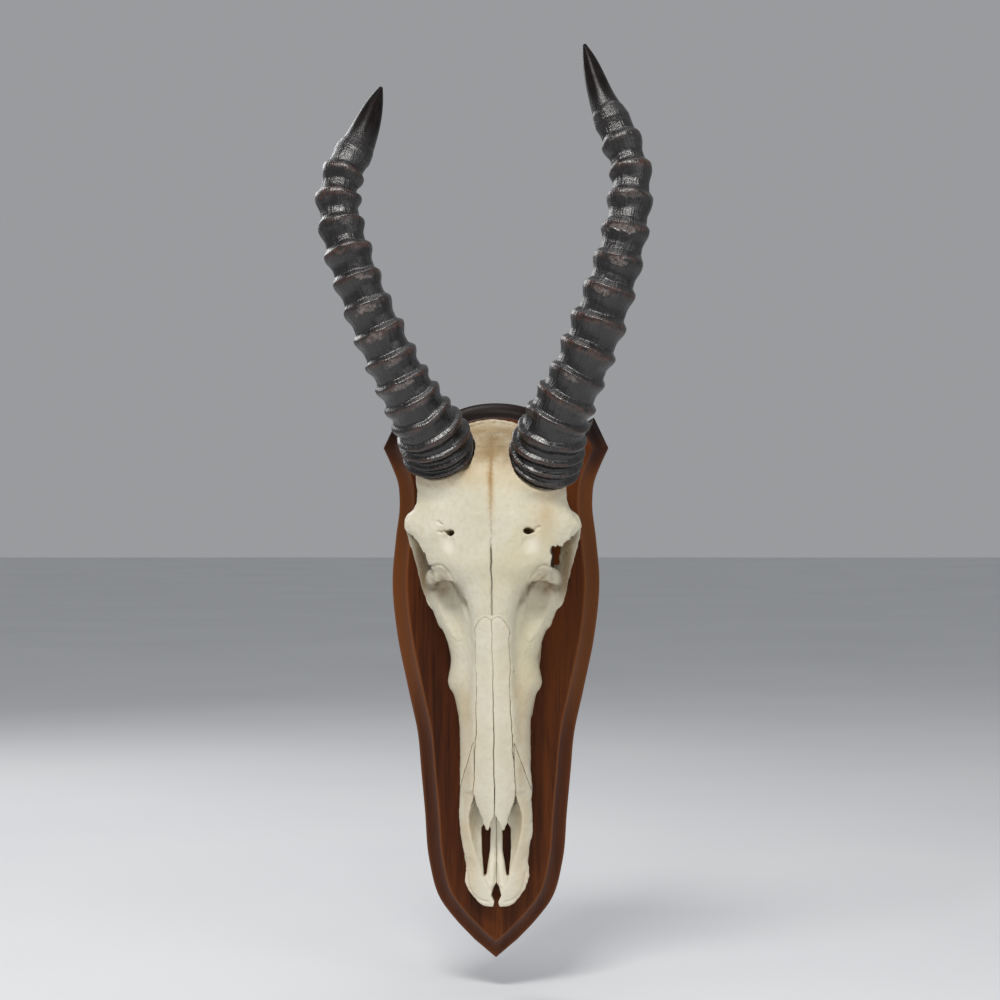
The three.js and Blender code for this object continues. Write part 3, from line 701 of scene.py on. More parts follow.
def bone_material():
    n = Nodes("bone")
    own = n.vectors("own")
    cream = n.mix(n.spread(n.noise(28, 4), 0.35, 0.7), tint(222, 216, 197), tint(208, 201, 176))
    cream = n.mix(n.spread(n.noise(9, 3), 0.45, 0.75), cream, tint(214, 203, 168))
    mottle = n.times(n.spread(n.noise(260, 4, 0.6), 0.46, 0.66), 0.3)
    cream = n.mix(mottle, cream, tint(196, 182, 144))
    cream = n.mix(n.mask("pale"), cream, tint(230, 223, 204))
    yellow = n.times(n.mask("ochre"), n.spread(n.noise(55, 4), 0.2, 0.7, 0.45, 1.0))
    cream = n.mix(yellow, cream, tint(186, 152, 98))
    cream = n.stain(cream, "shade", 0.45, 166, 142, 100)
    # Painted shade: hollows darkened towards brown, broken by noise
    hollow_shade = n.times(n.mask("hollow"), n.spread(n.noise(70, 4), 0.25, 0.65, 0.35, 1.0))
    cream = n.mix(n.times(hollow_shade, 0.45), cream, tint(126, 94, 56))
    cream = n.mix(n.times(seam_lines(n, own), 0.85), cream, tint(66, 46, 28))
    # Mostly painted shade: the eye socket walls behind the brow edges and the lower flanks of the face;
    # also browner on the ledges and darker towards the top of the head
    cream = n.stain(cream, "tan", 0.95, 142, 118, 80)
    # Painted shadow under overhanging bone, such as the ledge under each eye
    cream = n.stain(cream, "under", 0.6, 104, 84, 54)
    # Rust-brown: real stains along the suture and round the brow holes, and painted shadow round the horn
    # feet and in the tear pockets under the ledges
    rust_and_shade_share = n.times(n.mask("rust_and_shade"), n.spread(n.noise(170, 4, 0.6), 0.3, 0.62, 0.35, 1.0))
    cream = n.mix(rust_and_shade_share, cream, tint(146, 104, 50))
    # Painted shade: near black-brown deep in the nose cavity and in the eye sockets
    cream = n.stain(cream, "deep_shade", 0.94, 40, 26, 16)
    # Painted light: thin edges and ridges lighter
    cream = n.stain(cream, "edge", 0.3, 236, 226, 200)
    specks = n.spread(n.cells(420), 0.05, 0.16, 1.0, 0.0)
    cream = n.mix(n.times(specks, n.spread(n.noise(40), 0.5, 0.66, 0.0, 0.4)), cream, tint(124, 98, 62))
    pores = n.spread(n.cells(900), 0.0, 0.35)
    fibres = n.noise(600, 3, vector=n.stretched((1.0, 1.0, 0.16)))
    normal = n.bump(pores, 0.12, 0.0004)
    normal = n.bump(fibres, 0.2, 0.0005, normal)
    normal = n.bump(n.noise(130, 4), 0.3, 0.0012, normal)
    normal = n.bump(n.noise(420, 3, 0.6), 0.3, 0.0006, normal)
    rugged = n.times(n.noise(330, 4, 0.7), n.mask("tan"))
    normal = n.bump(rugged, 0.9, 0.0024, normal)
    rough = n.spread(n.noise(60, 3), 0.3, 0.7, 0.34, 0.54)
    material = n.finish(cream, rough, normal)
    n.shader.inputs["Specular IOR Level"].default_value = 0.45
    n.shader.inputs["Subsurface Weight"].default_value = 0.05
    n.shader.inputs["Subsurface Radius"].default_value = (0.004, 0.0025, 0.0015)
    n.shader.inputs["Subsurface Scale"].default_value = 1.0
    return material


def seam_lines(n, own):
    """Seams on the top of the head, finer than the mesh: a zigzag, an open crack, and one seam across."""
    x, d, z = n.make("ShaderNodeSeparateXYZ", {0: own}).outputs
    teeth = n.math("PINGPONG", n.math("ADD", z, n.times(n.noise(0.4, 2, vector=own), 4.0)), 1.3)
    teeth = n.minus(teeth, 0.65)
    waver = n.times(n.minus(n.noise(0.12, 3, vector=own), 0.5), 4.0)
    line = n.minus(x, waver)
    zig = n.math("ABSOLUTE", n.minus(line, teeth))
    zig = n.spread(zig, 0.15, 0.55, 1.0, 0.0)
    high = n.times(n.spread(z, 112, 122), n.spread(z, 184, 190, 1.0, 0.0))
    high = n.times(high, n.spread(d, 100, 106))
    broken = n.spread(n.noise(0.3, 3, vector=own), 0.35, 0.55, 0.12, 0.55)
    zig = n.times(n.times(zig, high), broken)
    drift = n.times(n.minus(n.noise(0.1, 2, vector=own), 0.5), 2.4)
    crack = n.math("ABSOLUTE", n.minus(n.minus(x, 0.1), drift))
    crack = n.spread(crack, 0.42, 0.85, 1.0, 0.0)
    run = n.times(n.spread(z, 114, 119, 1.0, 0.0), n.spread(z, 57, 61))
    run = n.times(run, n.spread(z, 78, 92, 0.65, 1.0))
    crack = n.times(n.times(crack, run), n.spread(d, 98, 102))
    wave = n.times(n.minus(n.noise(0.25, 3, vector=own), 0.5), 7.0)
    cross = n.math("ABSOLUTE", n.minus(n.minus(z, 195.5), wave))
    cross = n.times(n.spread(cross, 0.3, 1.0, 0.6, 0.0), n.spread(d, 88, 94))
    return n.math("MAXIMUM", n.math("MAXIMUM", zig, crack), cross)


def enamel_material():
    n = Nodes("enamel")
    ivory = n.mix(n.spread(n.noise(90, 4), 0.35, 0.7), tint(222, 212, 186), tint(176, 152, 112))
    # Painted shade between and round the teeth
    ivory = n.stain(ivory, "hollow", 0.9, 70, 48, 30)
    normal = n.bump(n.noise(500, 3, vector=n.stretched((1, 0.2, 1))), 0.2, 0.0004)
    return n.finish(ivory, 0.28, normal)


def horn_material():
    n = Nodes("horn")
    run = n.vectors("run")
    black = n.mix(n.spread(n.noise(0.12, 4, vector=run), 0.35, 0.7), tint(31, 27, 26), tint(17, 14, 14))
    ringed = n.minus(1.0, n.mask("polished"))
    lines = n.noise(1.0, 3, 0.6, vector=n.stretched((0.75, 0.75, 0.05), run))
    streaks = n.times(n.spread(lines, 0.5, 0.68), ringed)
    black = n.mix(n.times(streaks, 0.3), black, tint(74, 70, 70))
    brown = n.times(n.mask("crest"), n.spread(n.noise(0.25, 4, vector=run), 0.4, 0.62))
    black = n.mix(n.times(brown, 0.65), black, tint(82, 52, 38))
    # Pale patches on the rings' fronts: partly wear, partly a painted highlight
    wear_and_glint = n.times(n.mask("wear_and_glint"), n.spread(n.noise(0.45, 4, 0.65, vector=run), 0.36, 0.62))
    black = n.mix(n.times(wear_and_glint, 0.7), black, tint(138, 126, 120))
    # Painted shade in the valleys between the rings
    black = n.stain(black, "groove", 0.4, 12, 10, 10)
    fine = n.noise(1.0, 3, 0.55, vector=n.stretched((0.9, 0.9, 0.07), run))
    growth = n.noise(1.0, 2, 0.5, vector=n.stretched((0.1, 0.1, 0.5), run))
    normal = n.bump(n.times(fine, ringed), 0.6, 0.0009)
    normal = n.bump(n.times(growth, ringed), 0.3, 0.0008, normal)
    rough = n.spread(n.noise(0.2, 3, vector=run), 0.3, 0.7, 0.17, 0.34)
    material = n.finish(black, rough, normal)
    n.put(n.shader.inputs["Specular IOR Level"], n.spread(n.mask("polished"), 0.0, 1.0, 0.7, 0.07))
    return material


def wood_material():
    n = Nodes("wood")
    grain = n.noise(1.0, 5, 0.62, vector=n.stretched((170.0, 60.0, 7.0)), distortion=0.5)
    broad = n.noise(1.0, 3, 0.5, vector=n.stretched((30.0, 20.0, 3.0)), distortion=0.8)
    colour = n.mix(n.spread(grain, 0.32, 0.68), tint(88, 42, 13), tint(46, 19, 6))
    colour = n.mix(n.spread(broad, 0.4, 0.66), colour, tint(102, 51, 16))
    pores = n.noise(1.0, 2, 0.5, vector=n.stretched((1300.0, 700.0, 30.0)))
    dark_pores = n.spread(pores, 0.56, 0.68)
    colour = n.mix(n.times(dark_pores, 0.6), colour, tint(26, 12, 8))
    colour = n.stain(colour, "moulding", 0.5, 64, 33, 18)
    # Lighter lines along the bead and the outer round of the moulding
    colour = n.stain(colour, "bead_and_edge_lines", 0.45, 146, 86, 44)
    # Painted light: the moulding's side bands lighter
    colour = n.stain(colour, "lit_sides", 0.5, 124, 72, 34)
    # Painted shade: the moulding's top band near black
    colour = n.stain(colour, "crown", 0.95, 17, 10, 8)
    normal = n.bump(pores, 0.16, 0.0005)
    normal = n.bump(grain, 0.14, 0.0006, normal)
    rough = n.spread(grain, 0.3, 0.7, 0.3, 0.44)
    material = n.finish(colour, rough, normal)
    n.shader.inputs["Specular IOR Level"].default_value = 0.14
    return material


def floor_material():
    n = Nodes("floor")
    pale = n.mix(n.spread(n.noise(1.5, 2), 0.3, 0.7), (0.72, 0.73, 0.75, 1), (0.76, 0.77, 0.78, 1))
    return n.finish(pale, 0.85, n.bump(n.noise(60, 2), 0.03, 0.001))


bone = bone_material()
enamel = enamel_material()
horn = horn_material()
wood = wood_material()


# The skull, its nose bones and its front jaw bones, shaped as one and then parted at the seams

def nasal_top(x, z):
    """Outer edge of the nose bones at a height, and the depth of their top, which droops to the sides."""
    rows = sorted(NASAL)
    shape = along_rows(rows, np.clip(np.ravel(z), rows[0][0], rows[-1][0]))
    edge, top = (shape[:, k].reshape(np.shape(z)) for k in range(2))
    return edge, top - NASAL_DROOP * np.clip(np.abs(x) / edge, 0, 1.3) ** 2


def nasal_plate(x, d, z):
    """Both nose bones as one plate."""
    edge, top = nasal_top(x, z)
    deep = np.maximum(d - top, top - NASAL_THICK - d)
    ends = np.maximum(z - NASAL[0][0], NASAL[-1][0] - z)
    return np.maximum(np.maximum(np.abs(x) - edge, deep), ends)


def sculpt_bodies(clay):
    for rows in (JAWS, FRONTAL, BRAINCASE, SKULL_BASE, FACE_BRIDGE):
        clay.add(loft(rows), 5.0)


def sculpt_hollows(clay):
    # temples
    clay.carve_pair(5.0, egg, (63, 66, 166), (19, 24, 24))
    # eye sockets, and the room behind them
    clay.carve_pair(3.0, egg, (66, 76, 112), (27, 30, 22))
    clay.carve_pair(4.0, egg, (50, 56, 118), (18, 16, 22))
    # tear pockets, deepest under the ledge below each eye, and the channels that run down from them
    pocket = [(40.5, 84, 81), (38.5, 87, 70), (35.5, 89, 57), (31, 89, 42), (27.5, 88, 25), (25.5, 86, 8)]
    clay.carve_pair(3.0, limb, pocket, [9, 12, 12, 9, 6, 3], count=22)
    clay.carve_pair(5.0, egg, (38, 101, 66), (11, 16, 18))
    # bone round the tooth roots
    roots = [(25, 46, -22), (28, 45, 10), (30.5, 45, 40), (31, 46, 62)]
    clay.add_pair(4.0, limb, roots, [5.5, 7.4, 8.2, 7.8], stretch=(1, 1.35, 1))
    # palate between the tooth rows
    clay.carve(egg((0, 22, 8), (17, 12, 84)), 3.0)


def sculpt_eye_bones(clay):
    clay.add_pair(3.0, limb, CHEEK_ARCH, [8, 8.5, 8, 7.5, 7, 7, 8], stretch=(0.42, 1, 1))
    clay.add_pair(2.5, limb, EYE_BAR, [6, 6.6, 7.4, 7.6, 7.4, 7.4, 6], stretch=(1, 0.45, 1))
    clay.add_pair(4.0, limb, EYE_WALL, [9, 9, 8], stretch=(0.9, 0.5, 1))
    clay.add_pair(2.0, limb, EYE_FRONT_RIM, [4.5, 6, 6.8, 6.6, 6], stretch=(0.8, 0.75, 1))
    # the forehead's ragged edge over each eye
    outside = [(-84, 92), (-84, 130)]
    clay.carve(slab(on_side(LEFT_BROW_EDGE, -1) + outside, (80, 130)), 0.2)
    clay.carve(slab(RIGHT_BROW_EDGE + [(84, 96), (84, 131)], (80, 130)), 0.2)
    clay.carve(slab(RIGHT_BROW_HOLE, (52, 130)), 0.3)
    # furrows where the tear bone meets the forehead, and its ragged edge that hangs over the pocket
    for side in (1, -1):
        line = [(50, 98), (46, 100.6), (42, 101.2), (38.6, 99.8), (35, 95.6), (31.4, 89.4), (28, 80)]
        clay.groove(on_side(line, side), 1.2, 0.1, 0.4)
    clay.carve(slab(LEFT_LEDGE_EDGE, (82, 126)), 0.4)
    clay.carve(slab(RIGHT_LEDGE_EDGE, (82, 126)), 0.4)


def sculpt_muzzle(clay):
    clay.carve(loft(NOSE_TROUGH), 1.6)
    # the bones beside the midline of the palate
    palate = [(2.6, 31, -96), (2.7, 31.4, -120), (3.1, 31.6, -142), (5.2, 32, -168)]
    clay.add_pair(1.2, limb, palate, [2.4, 2.4, 2.7, 3.4])
    for side in (1, -1):
        clay.carve(slab(on_side(PALATE_SLOT, side), (20, 60)), 0.8)
        clay.carve(slab(on_side(CHIN_NOTCH, side), (20, 60)), 0.8)
        rim = [(24.6, -158), (23.6, -167), (19.6, -176), (13, -181.6), (7, -183)]
        clay.groove(on_side(rim, side), 0.8, -0.3, 1.2)
    clay.add((nasal_plate, (-18, 46, -121), (18, 108, 59)), 0.8)
    for side in (1, -1):
        notch = [(-0.4, -106), (2.2, -110.5), (4.6, -115.6), (6.2, -122), (-0.4, -130)]
        clay.carve(slab(on_side(notch, side), (44, 70)), 0.3)
        clay.carve(slab(on_side(BESIDE_NASAL_TIPS, side), (48, 70)), 0.3)


def sculpt_forehead(clay):
    # brow holes with their furrows, and the shallow dents below them
    left_hole = [(-33.2, 124, 127), (-32.6, 117, 126.8), (-30.5, 108, 125)]
    clay.carve(limb(left_hole, [2.7, 2.3], stretch=(1.35, 1, 1)), 0.6)
    clay.groove([(-35, 127.2), (-37.4, 128), (-39.6, 127.2), (-42.2, 127.8)], 1.15, 0.35, 0.5)
    clay.groove([(-42.4, 135.4), (-41, 134), (-39.4, 133.6)], 1.0, 0.4, 0.5)
    right_hole = [(30.2, 124, 128.6), (29.6, 117, 128.4), (28, 108, 126.5)]
    clay.carve(limb(right_hole, [2.6, 2.3], stretch=(1.4, 1, 1)), 0.6)
    clay.groove([(32, 128.8), (34.6, 128.6), (36.4, 130.4), (38.4, 131.6)], 1.15, 0.35, 0.5)
    for x in (-35.5, 31.5):
        clay.carve(egg((x, clay.front(x, 118) + 1.4, 117), (6.5, 2.8, 7.5)), 1.8)
    # a low rise to each horn
    clay.add(egg((34, 104, 168), (23, 22, 20)), 5.0)
    clay.add(egg((-39, 104, 173), (22, 22, 20)), 5.0)


def sculpt_back_of_head(clay):
    clay.add_pair(2.0, egg, (13, 40, 202), (8, 12, 8))
    clay.add_pair(1.5, egg, (22, 37, 182), (8, 10, 10))
    clay.add_pair(2.0, limb, [(27, 54, 196), (27, 38, 197), (26, 26, 196)], [7, 5, 3], stretch=(0.7, 1, 1))
    clay.carve_pair(0.8, limb, [(38, 52, 178), (34, 48, 176)], [3.2, 2.6])
    clay.carve(egg((0, 46, 214), (9, 8, 14)), 1.0)
    crest = [(-34, 84, 206), (-20, 78, 213), (0, 74, 217), (20, 78, 213), (34, 84, 206)]
    clay.add(limb(crest, [2.2, 2.6, 3, 2.6, 2.2], stretch=(1, 1.4, 0.8)), 2.5)


def zigzag(start, end, teeth, swing, seed):
    """Points of a wavering seam between two places in the front view."""
    rng = np.random.default_rng(seed)
    steps = np.linspace(0, 1, teeth)
    x = start[0] + (end[0] - start[0]) * steps
    z = start[1] + (end[1] - start[1]) * steps
    x = x + swing * rng.uniform(0.5, 1, teeth) * np.where(np.arange(teeth) % 2, 1, -1)
    return list(zip(x, z))


def sculpt_seams(clay):
    clay.groove(zigzag((0.4, 187), (-0.6, 118), 34, 0.7, 3), 0.6, 0.0, 0.3)
    clay.groove([(0.1, z) for z in (117, 108, 96, 84, 72, 60)], 0.8, 0.2, 0.3)
    for side in (1, -1):
        clay.groove(on_side([(1, 59.8), (4, 60.8), (7.5, 60.4), (10, 58.2)], side), 0.5, -0.1, 0.3)
        clay.groove(on_side([(34, 40), (30, 36.5), (26.5, 38)], side), 0.6, 0.0, 0.8)
    clay.carve(egg((17.4, clay.front(17.4, 13) + 0.6, 13), (1.6, 2.4, 1.0)), 0.4)


def pillar(x0, z0, half):
    """An upright tooth pillar with a rounded square section and a dished crown."""
    def field(x, d, z):
        across = (np.abs((x - x0) / half[0]) ** 3.2 + np.abs((z - z0) / half[1]) ** 3.2) ** (1 / 3.2)
        body = (across - 1) * min(half)
        crown = BITE_DEPTH + 0.8 * (1 - np.clip(across, 0, 1) ** 2)
        return np.maximum(body, np.maximum(crown - d, d - TOOTH_ROOT_DEPTH))
    low = (x0 - half[0], BITE_DEPTH, z0 - half[1])
    high = (x0 + half[0], TOOTH_ROOT_DEPTH, z0 + half[1])
    return field, low, high


def make_teeth():
    """Cheek teeth: each is one or two rounded pillars side by side, ribbed on the cheek side."""
    clay = Clay(*TEETH_ROOM, TEETH_CELL)
    total = sum(length + TOOTH_SPACE for length, _ in TEETH)
    for side in (1, -1):
        z = TOOTH_ROW_FOOT
        for length, width in TEETH:
            share = (z + length / 2 - TOOTH_ROW_FOOT) / total
            x = side * (TOOTH_ROW_SIDE[0] + (TOOTH_ROW_SIDE[1] - TOOTH_ROW_SIDE[0]) * share)
            lobes = 2 if length > 10 else 1
            for lobe in range(lobes):
                size = length / lobes
                middle = z + size * (lobe + 0.5)
                clay.add(pillar(x, middle, (width / 2, size / 2 + 0.2)), 1.0)
                rib = x + side * (width / 2 - 0.4)
                crown = [(rib, BITE_DEPTH + 1.6, middle), (rib, TOOTH_ROOT_DEPTH - 8, middle)]
                clay.add(limb(crown, [0.8, 0.8]), 1.4)
                clay.carve(egg((x, BITE_DEPTH - 0.4, middle), (width / 4, 2.2, size / 5)), 0.5)
            z += length + TOOTH_SPACE
    piece, _ = bone_piece("cheek_teeth", clay, enamel, TEETH_TRIANGLES)
    dress(piece, "skull")


def sculpt_head():
    clay = Clay(*SKULL_ROOM, SKULL_CELL)
    sculpt_bodies(clay)
    sculpt_hollows(clay)
    sculpt_eye_bones(clay)
    sculpt_forehead(clay)
    sculpt_back_of_head(clay)
    sculpt_muzzle(clay)
    clay.roughen(0.5, 14, 11, 3)
    clay.roughen(0.2, 3.2, 21, 2)
    ledges = [((side * 42, 99, 91), (10, 14, 7)) for side in (1, -1)]
    clay.roughen(2.0, 4.2, 61, 3, ledges)
    brow_edges = [((64, 100, 122), (9, 22, 12)), ((-62, 100, 118), (10, 22, 12))]
    clay.roughen(0.7, 4.0, 67, 2, brow_edges)
    clay.roughen(0.9, 5.0, 71, 2, [((0, 80, 214), (38, 18, 7))])
    sculpt_seams(clay)
    for line, half, which in HORNS:
        cut_horn_seat(clay, line, half, which)
    return clay


def wander(z, seed, reach):
    """A small side step that changes along the height, so seams aren't straight."""
    values = np.random.default_rng(seed).uniform(-1, 1, 400)
    return (np.interp(z / 2.3 + 150, np.arange(400), values) * 0.4
            + np.interp(z / 9.0 + 100, np.arange(400), values[::-1])) * reach


def nasal_room(side, gap):
    """The room of one nose bone; `gap` widens it where the seams stand open, low on the nose."""
    def field(x, d, z):
        edge, top = nasal_top(x, z)
        edge = edge + wander(z, 5 + side, 0.5)
        open_share = 0.3 + 0.9 * np.clip((20 - z) / 60, 0, 1)
        grow = gap * open_share
        split = wander(z, 9, 0.45)
        across = (x - split) * side
        sides = np.maximum(across - edge, (-across if gap > 0 else 0.35 * open_share - across)) - grow
        crown = z - (NASAL[0][0] - 0.13 * (across - 5) ** 2) - grow
        floor = top - NASAL_THICK - 0.4 - d
        return np.maximum(np.maximum(sides, crown), floor)
    low = (min(-2, side * 19), 40, -124)
    high = (max(2, side * 19), 112, 60)
    return field, low, high


def front_jaw_room(gap):
    """What lies below the slanting seam, or below the seam across the palate near its midline."""
    slope = (SEAM_FOOT[1] - SEAM_TOP[1]) / (SEAM_FOOT[0] - SEAM_TOP[0])

    def field(x, d, z):
        seam = SEAM_TOP[1] + slope * (np.abs(x) - SEAM_TOP[0]) + wander(d + x * 2, 31, 0.8)
        steep = z - np.where(np.abs(x) < SEAM_TOP[0] - 1.5, SEAM_INNER, seam)
        steep = steep / math.hypot(1, slope)
        return np.maximum(steep, z - SEAM_TOP[1] - 6) - gap
    low = (-FRONT_JAW_SIDE, *SKULL_ROOM[0][1:])
    return field, low, (FRONT_JAW_SIDE, FRONT_JAW_DEPTH, SEAM_TOP[1] + 8)


def one_side(side):
    """All on one side of the seam between the front jaw bones."""
    def field(x, d, z):
        return MIDDLE_SEAM_HALF_GAP - side * (x - wander(z, 13, 0.25))
    return field, None, None


def horn_gap(places):
    """Distance from places on the skull to the nearer horn's foot, in millimetres."""
    gaps = []
    for line, half, which in HORNS:
        own, width, axis = horn_foot(line, half, which, np.array([0.0, 0.03]))
        off = places - own[0]
        along = off @ axis
        across = np.linalg.norm(off - along[:, None] * axis, axis=1)
        gaps.append(np.hypot(np.maximum(across - width[0], 0), np.maximum(np.abs(along) - 6, 0)))
    return np.minimum(*gaps)


def ramp(value, low, high):
    """From 0 at `low` to 1 at `high`, which may be the lower of the two."""
    return np.clip((value - low) / (high - low), 0, 1)


def spot(*axes):
    """A soft spot from rows of a place's value, the spot's middle and its half size."""
    return np.exp(-sum(((value - middle) / half) ** 2 for value, middle, half in axes))


def paint_bone(piece, places):
    x, d, z = places.T
    aside = np.abs(x)
    nearby = layered_noise(places, 9, 41)
    front = ramp(d, 70, 90)
    stain = spot((x, -1.2 * nearby, 2.6)) * ramp(z, 125, 170) * front
    upper = ramp(z, 158, 188) * (0.78 + 0.3 * nearby) * front
    blotch = spot((x, -1, 4.5), (z, 179, 12)) * (0.9 + 0.6 * nearby) * front
    right_brow = spot((x, 44, 9), (z, 142, 18)) * 0.6
    nose_sides = spot((aside, 22, 8)) * np.clip((20 - z) / 60, 0, 0.4)
    set_mask(piece, "ochre", np.maximum.reduce([stain, upper, blotch, right_brow, nose_sides]))

    # Rust-brown: real stains along the suture and round the brow holes, and painted shadow round the horn
    # feet and in the tear pockets under the ledges
    suture = spot((x, 0.8 * nearby, 2.0)) * smooth_step(z, 154, 172) * smooth_step(-z, -192, -184)
    fringe = ramp(horn_gap(places), 3.5, 0) * (0.35 + 0.5 * nearby)
    brows = spot((x, -37, 4.5), (z, 129, 4)) * 0.3 + spot((x, 30, 4), (z, 129, 3)) * 0.45
    pocket = spot((aside, 43, 6), (z, 80, 6)) * 0.6
    stains_and_shadow = np.maximum.reduce([suture * (0.6 + 0.7 * nearby), fringe, brows]) * front
    set_mask(piece, "rust_and_shade", np.maximum(stains_and_shadow, pocket))

    # Mostly painted shade: the eye socket walls behind the brow edges and the lower flanks of the face;
    # also browner on the ledges and darker towards the top of the head
    strip = spot((aside, 60, 8)) * ramp(d, 94, 82) * smooth_step(z, 62, 84) * smooth_step(-z, -168, -118)
    ledge = spot((aside, 43, 9), (z, 90, 7)) * (0.5 + 0.6 * nearby)
    crown = smooth_step(z, 170, 192) * (0.72 + 0.35 * nearby) * front
    flanks = ramp(aside, 23, 31) * ramp(d, 74, 60) * smooth_step(z, -90, -50)
    flanks = flanks * smooth_step(-z, -80, -20) * 0.3
    set_mask(piece, "tan", np.maximum.reduce([strip, ledge, crown, flanks]))

    dents = spot((aside, 33.5, 6.5), (z, 117, 8)) * 0.9
    bridge = ramp(aside, 26, 0) * ramp(z, 110, 10) * 0.3
    tip = ramp(z, -130, -160) * 0.7
    inner = ramp(aside, 8, 5) * ramp(z, -108, -116) * 0.9
    set_mask(piece, "pale", np.maximum.reduce([dents, bridge, tip, inner]) * (d > 30))

    # Painted shade: near black-brown deep in the nose cavity and in the eye sockets
    cave = ramp(d, 58, 44) * ramp(aside, 18, 14) * ramp(z, -112, -92) * (z < 20)
    socket = spot((aside, 48, 11), (z, 110, 15)) * ramp(d, 76, 64)
    set_mask(piece, "deep_shade", np.maximum(cave * 0.9 * ramp(d, 28, 32), socket * 0.8))


def finish_bone(node, clay, most):
    piece, places = bone_piece(f"{node}_bone", clay, bone, most)
    paint_bone(piece, places)
    dress(piece, node)


def part_bone(node, clay, low, high, rooms, most):
    """Makes one bone of what the clay holds within its rooms."""
    own_clay = clay.part(low, high)
    for room in rooms:
        own_clay.meet(room)
    finish_bone(node, own_clay, most)


def make_head():
    clay = sculpt_head()
    for side, name in SIDES:
        room = nasal_room(side, 0.0)
        part_bone(f"nasal_{name}", clay, room[1], room[2], [room], NASAL_TRIANGLES)
    for side, _ in SIDES:
        clay.carve(nasal_room(side, NASAL_GAP), SHARP)
    for side, name in SIDES:
        low = (min(0, side * FRONT_JAW_SIDE), *SKULL_ROOM[0][1:])
        high = (max(0, side * FRONT_JAW_SIDE), FRONT_JAW_DEPTH, SEAM_TOP[1])
        rooms = [front_jaw_room(0.0), one_side(side)]
        part_bone(f"premaxilla_{name}", clay, low, high, rooms, PREMAXILLA_TRIANGLES)
    clay.carve(front_jaw_room(SEAM_GAP), SHARP)
    finish_bone("skull", clay, SKULL_TRIANGLES)


# The horns

def horn_frames(line, half, which, places):
    """At shares of a horn's length: middle, side, front and half width. Then its length and foot's axis."""
    points = np.array([(x, -d, z) for x, d, z in line], float)
    path = smooth_path(points, 600)
    steps = np.linalg.norm(np.diff(path, axis=0), axis=1)
    run = np.concatenate([[0], np.cumsum(steps)])
    share = run / run[-1]
    knots = np.concatenate([[0], np.cumsum(np.linalg.norm(np.diff(points, axis=0), axis=1))])
    widths = hermite(knots / knots[-1], np.array(half)[:, None], np.linspace(0, 1, 600))[:, 0]
    middle = np.stack([np.interp(places, share, path[:, k]) for k in range(3)], 1)
    slope = np.gradient(path, axis=0)
    slope /= np.linalg.norm(slope, axis=1, keepdims=True)
    tangent = np.stack([np.interp(places, share, slope[:, k]) for k in range(3)], 1)
    roll, tilt = HORN_SEAT_ROLL[which], HORN_SEAT_TILT
    foot = np.array([math.cos(tilt) * math.sin(roll), -math.sin(tilt), math.cos(tilt) * math.cos(roll)])
    blend = np.clip(1 - places / FOOT_BLEND, 0, 1)[:, None]
    normal = tangent * (1 - blend) + foot * blend
    normal /= np.linalg.norm(normal, axis=1, keepdims=True)
    across = np.cross(normal, (0, -1, 0))
    across /= np.linalg.norm(across, axis=1, keepdims=True)
    front = np.cross(across, normal)
    return middle, across, front, np.interp(places, share, widths), run[-1], foot


def horn_foot(line, half, which, places):
    """Middle points and half widths of a horn's low end, and its foot's axis, in the skull's own frame."""
    middle, _, _, width, _, foot = horn_frames(line, half, which, places)
    own = wall_to_skull(middle * MM)
    tip = wall_to_skull((middle[:1] + foot * 10) * MM)[0]
    return own, width, (tip - own[0]) / 10


def cut_horn_seat(clay, line, half, which):
    """Takes the room of a horn's foot out of the skull, in the skull's own frame."""
    own, width, axis = horn_foot(line, half, which, np.linspace(0, 0.22, 12))
    body, low, high = limb([tuple(p) for p in own], list(width + HORN_SEAT_GAP), count=14)

    def field(x, d, z):
        height = (x - own[0][0]) * axis[0] + (d - own[0][1]) * axis[1] + (z - own[0][2]) * axis[2]
        return np.maximum(body(x, d, z), -HORN_SEAT_GAP - height)
    clay.carve((field, low, high), SHARP)


def ring_marks():
    """Where each ring starts, as a share of the horn's length. The lowest rings are crowded."""
    along = np.minimum((np.arange(HORN_RINGS) + 0.5) / RING_CROWDED, 1)
    spaces = RING_CLOSEST + (1 - RING_CLOSEST) * np.sin(math.pi / 2 * along) ** 2
    return np.concatenate([[0], np.cumsum(spaces)]) / sum(spaces) * RING_RUN


def ring_shape(s, flat, rng, seed):
    """For each place: its ring, how far up the ring, its swell, and how much rings still show there."""
    marks = ring_marks()
    waver = layered_noise(flat, 16, seed, 2).reshape(s.shape) * 0.006
    place = s + waver * smooth_step(s, 0.0, 0.05)
    index = np.searchsorted(marks, place.ravel(), side="right").reshape(s.shape) - 1
    index = np.clip(index, 0, HORN_RINGS - 1)
    phase = np.clip((place - marks[index]) / (marks[index + 1] - marks[index]), 0, 1)
    swell = smooth_step(phase, 0.12, RING_CREST) ** 1.25
    bulge = swell * (1 - smooth_step(phase, RING_CREST + 0.05, 0.97))
    fade = smooth_step(1 - s, 1 - RING_RUN, 1 - RING_RUN + 0.13)
    strength = rng.uniform(0.82, 1.1, HORN_RINGS)[index] * (0.35 + 0.65 * fade)
    return index, phase, bulge * strength, fade


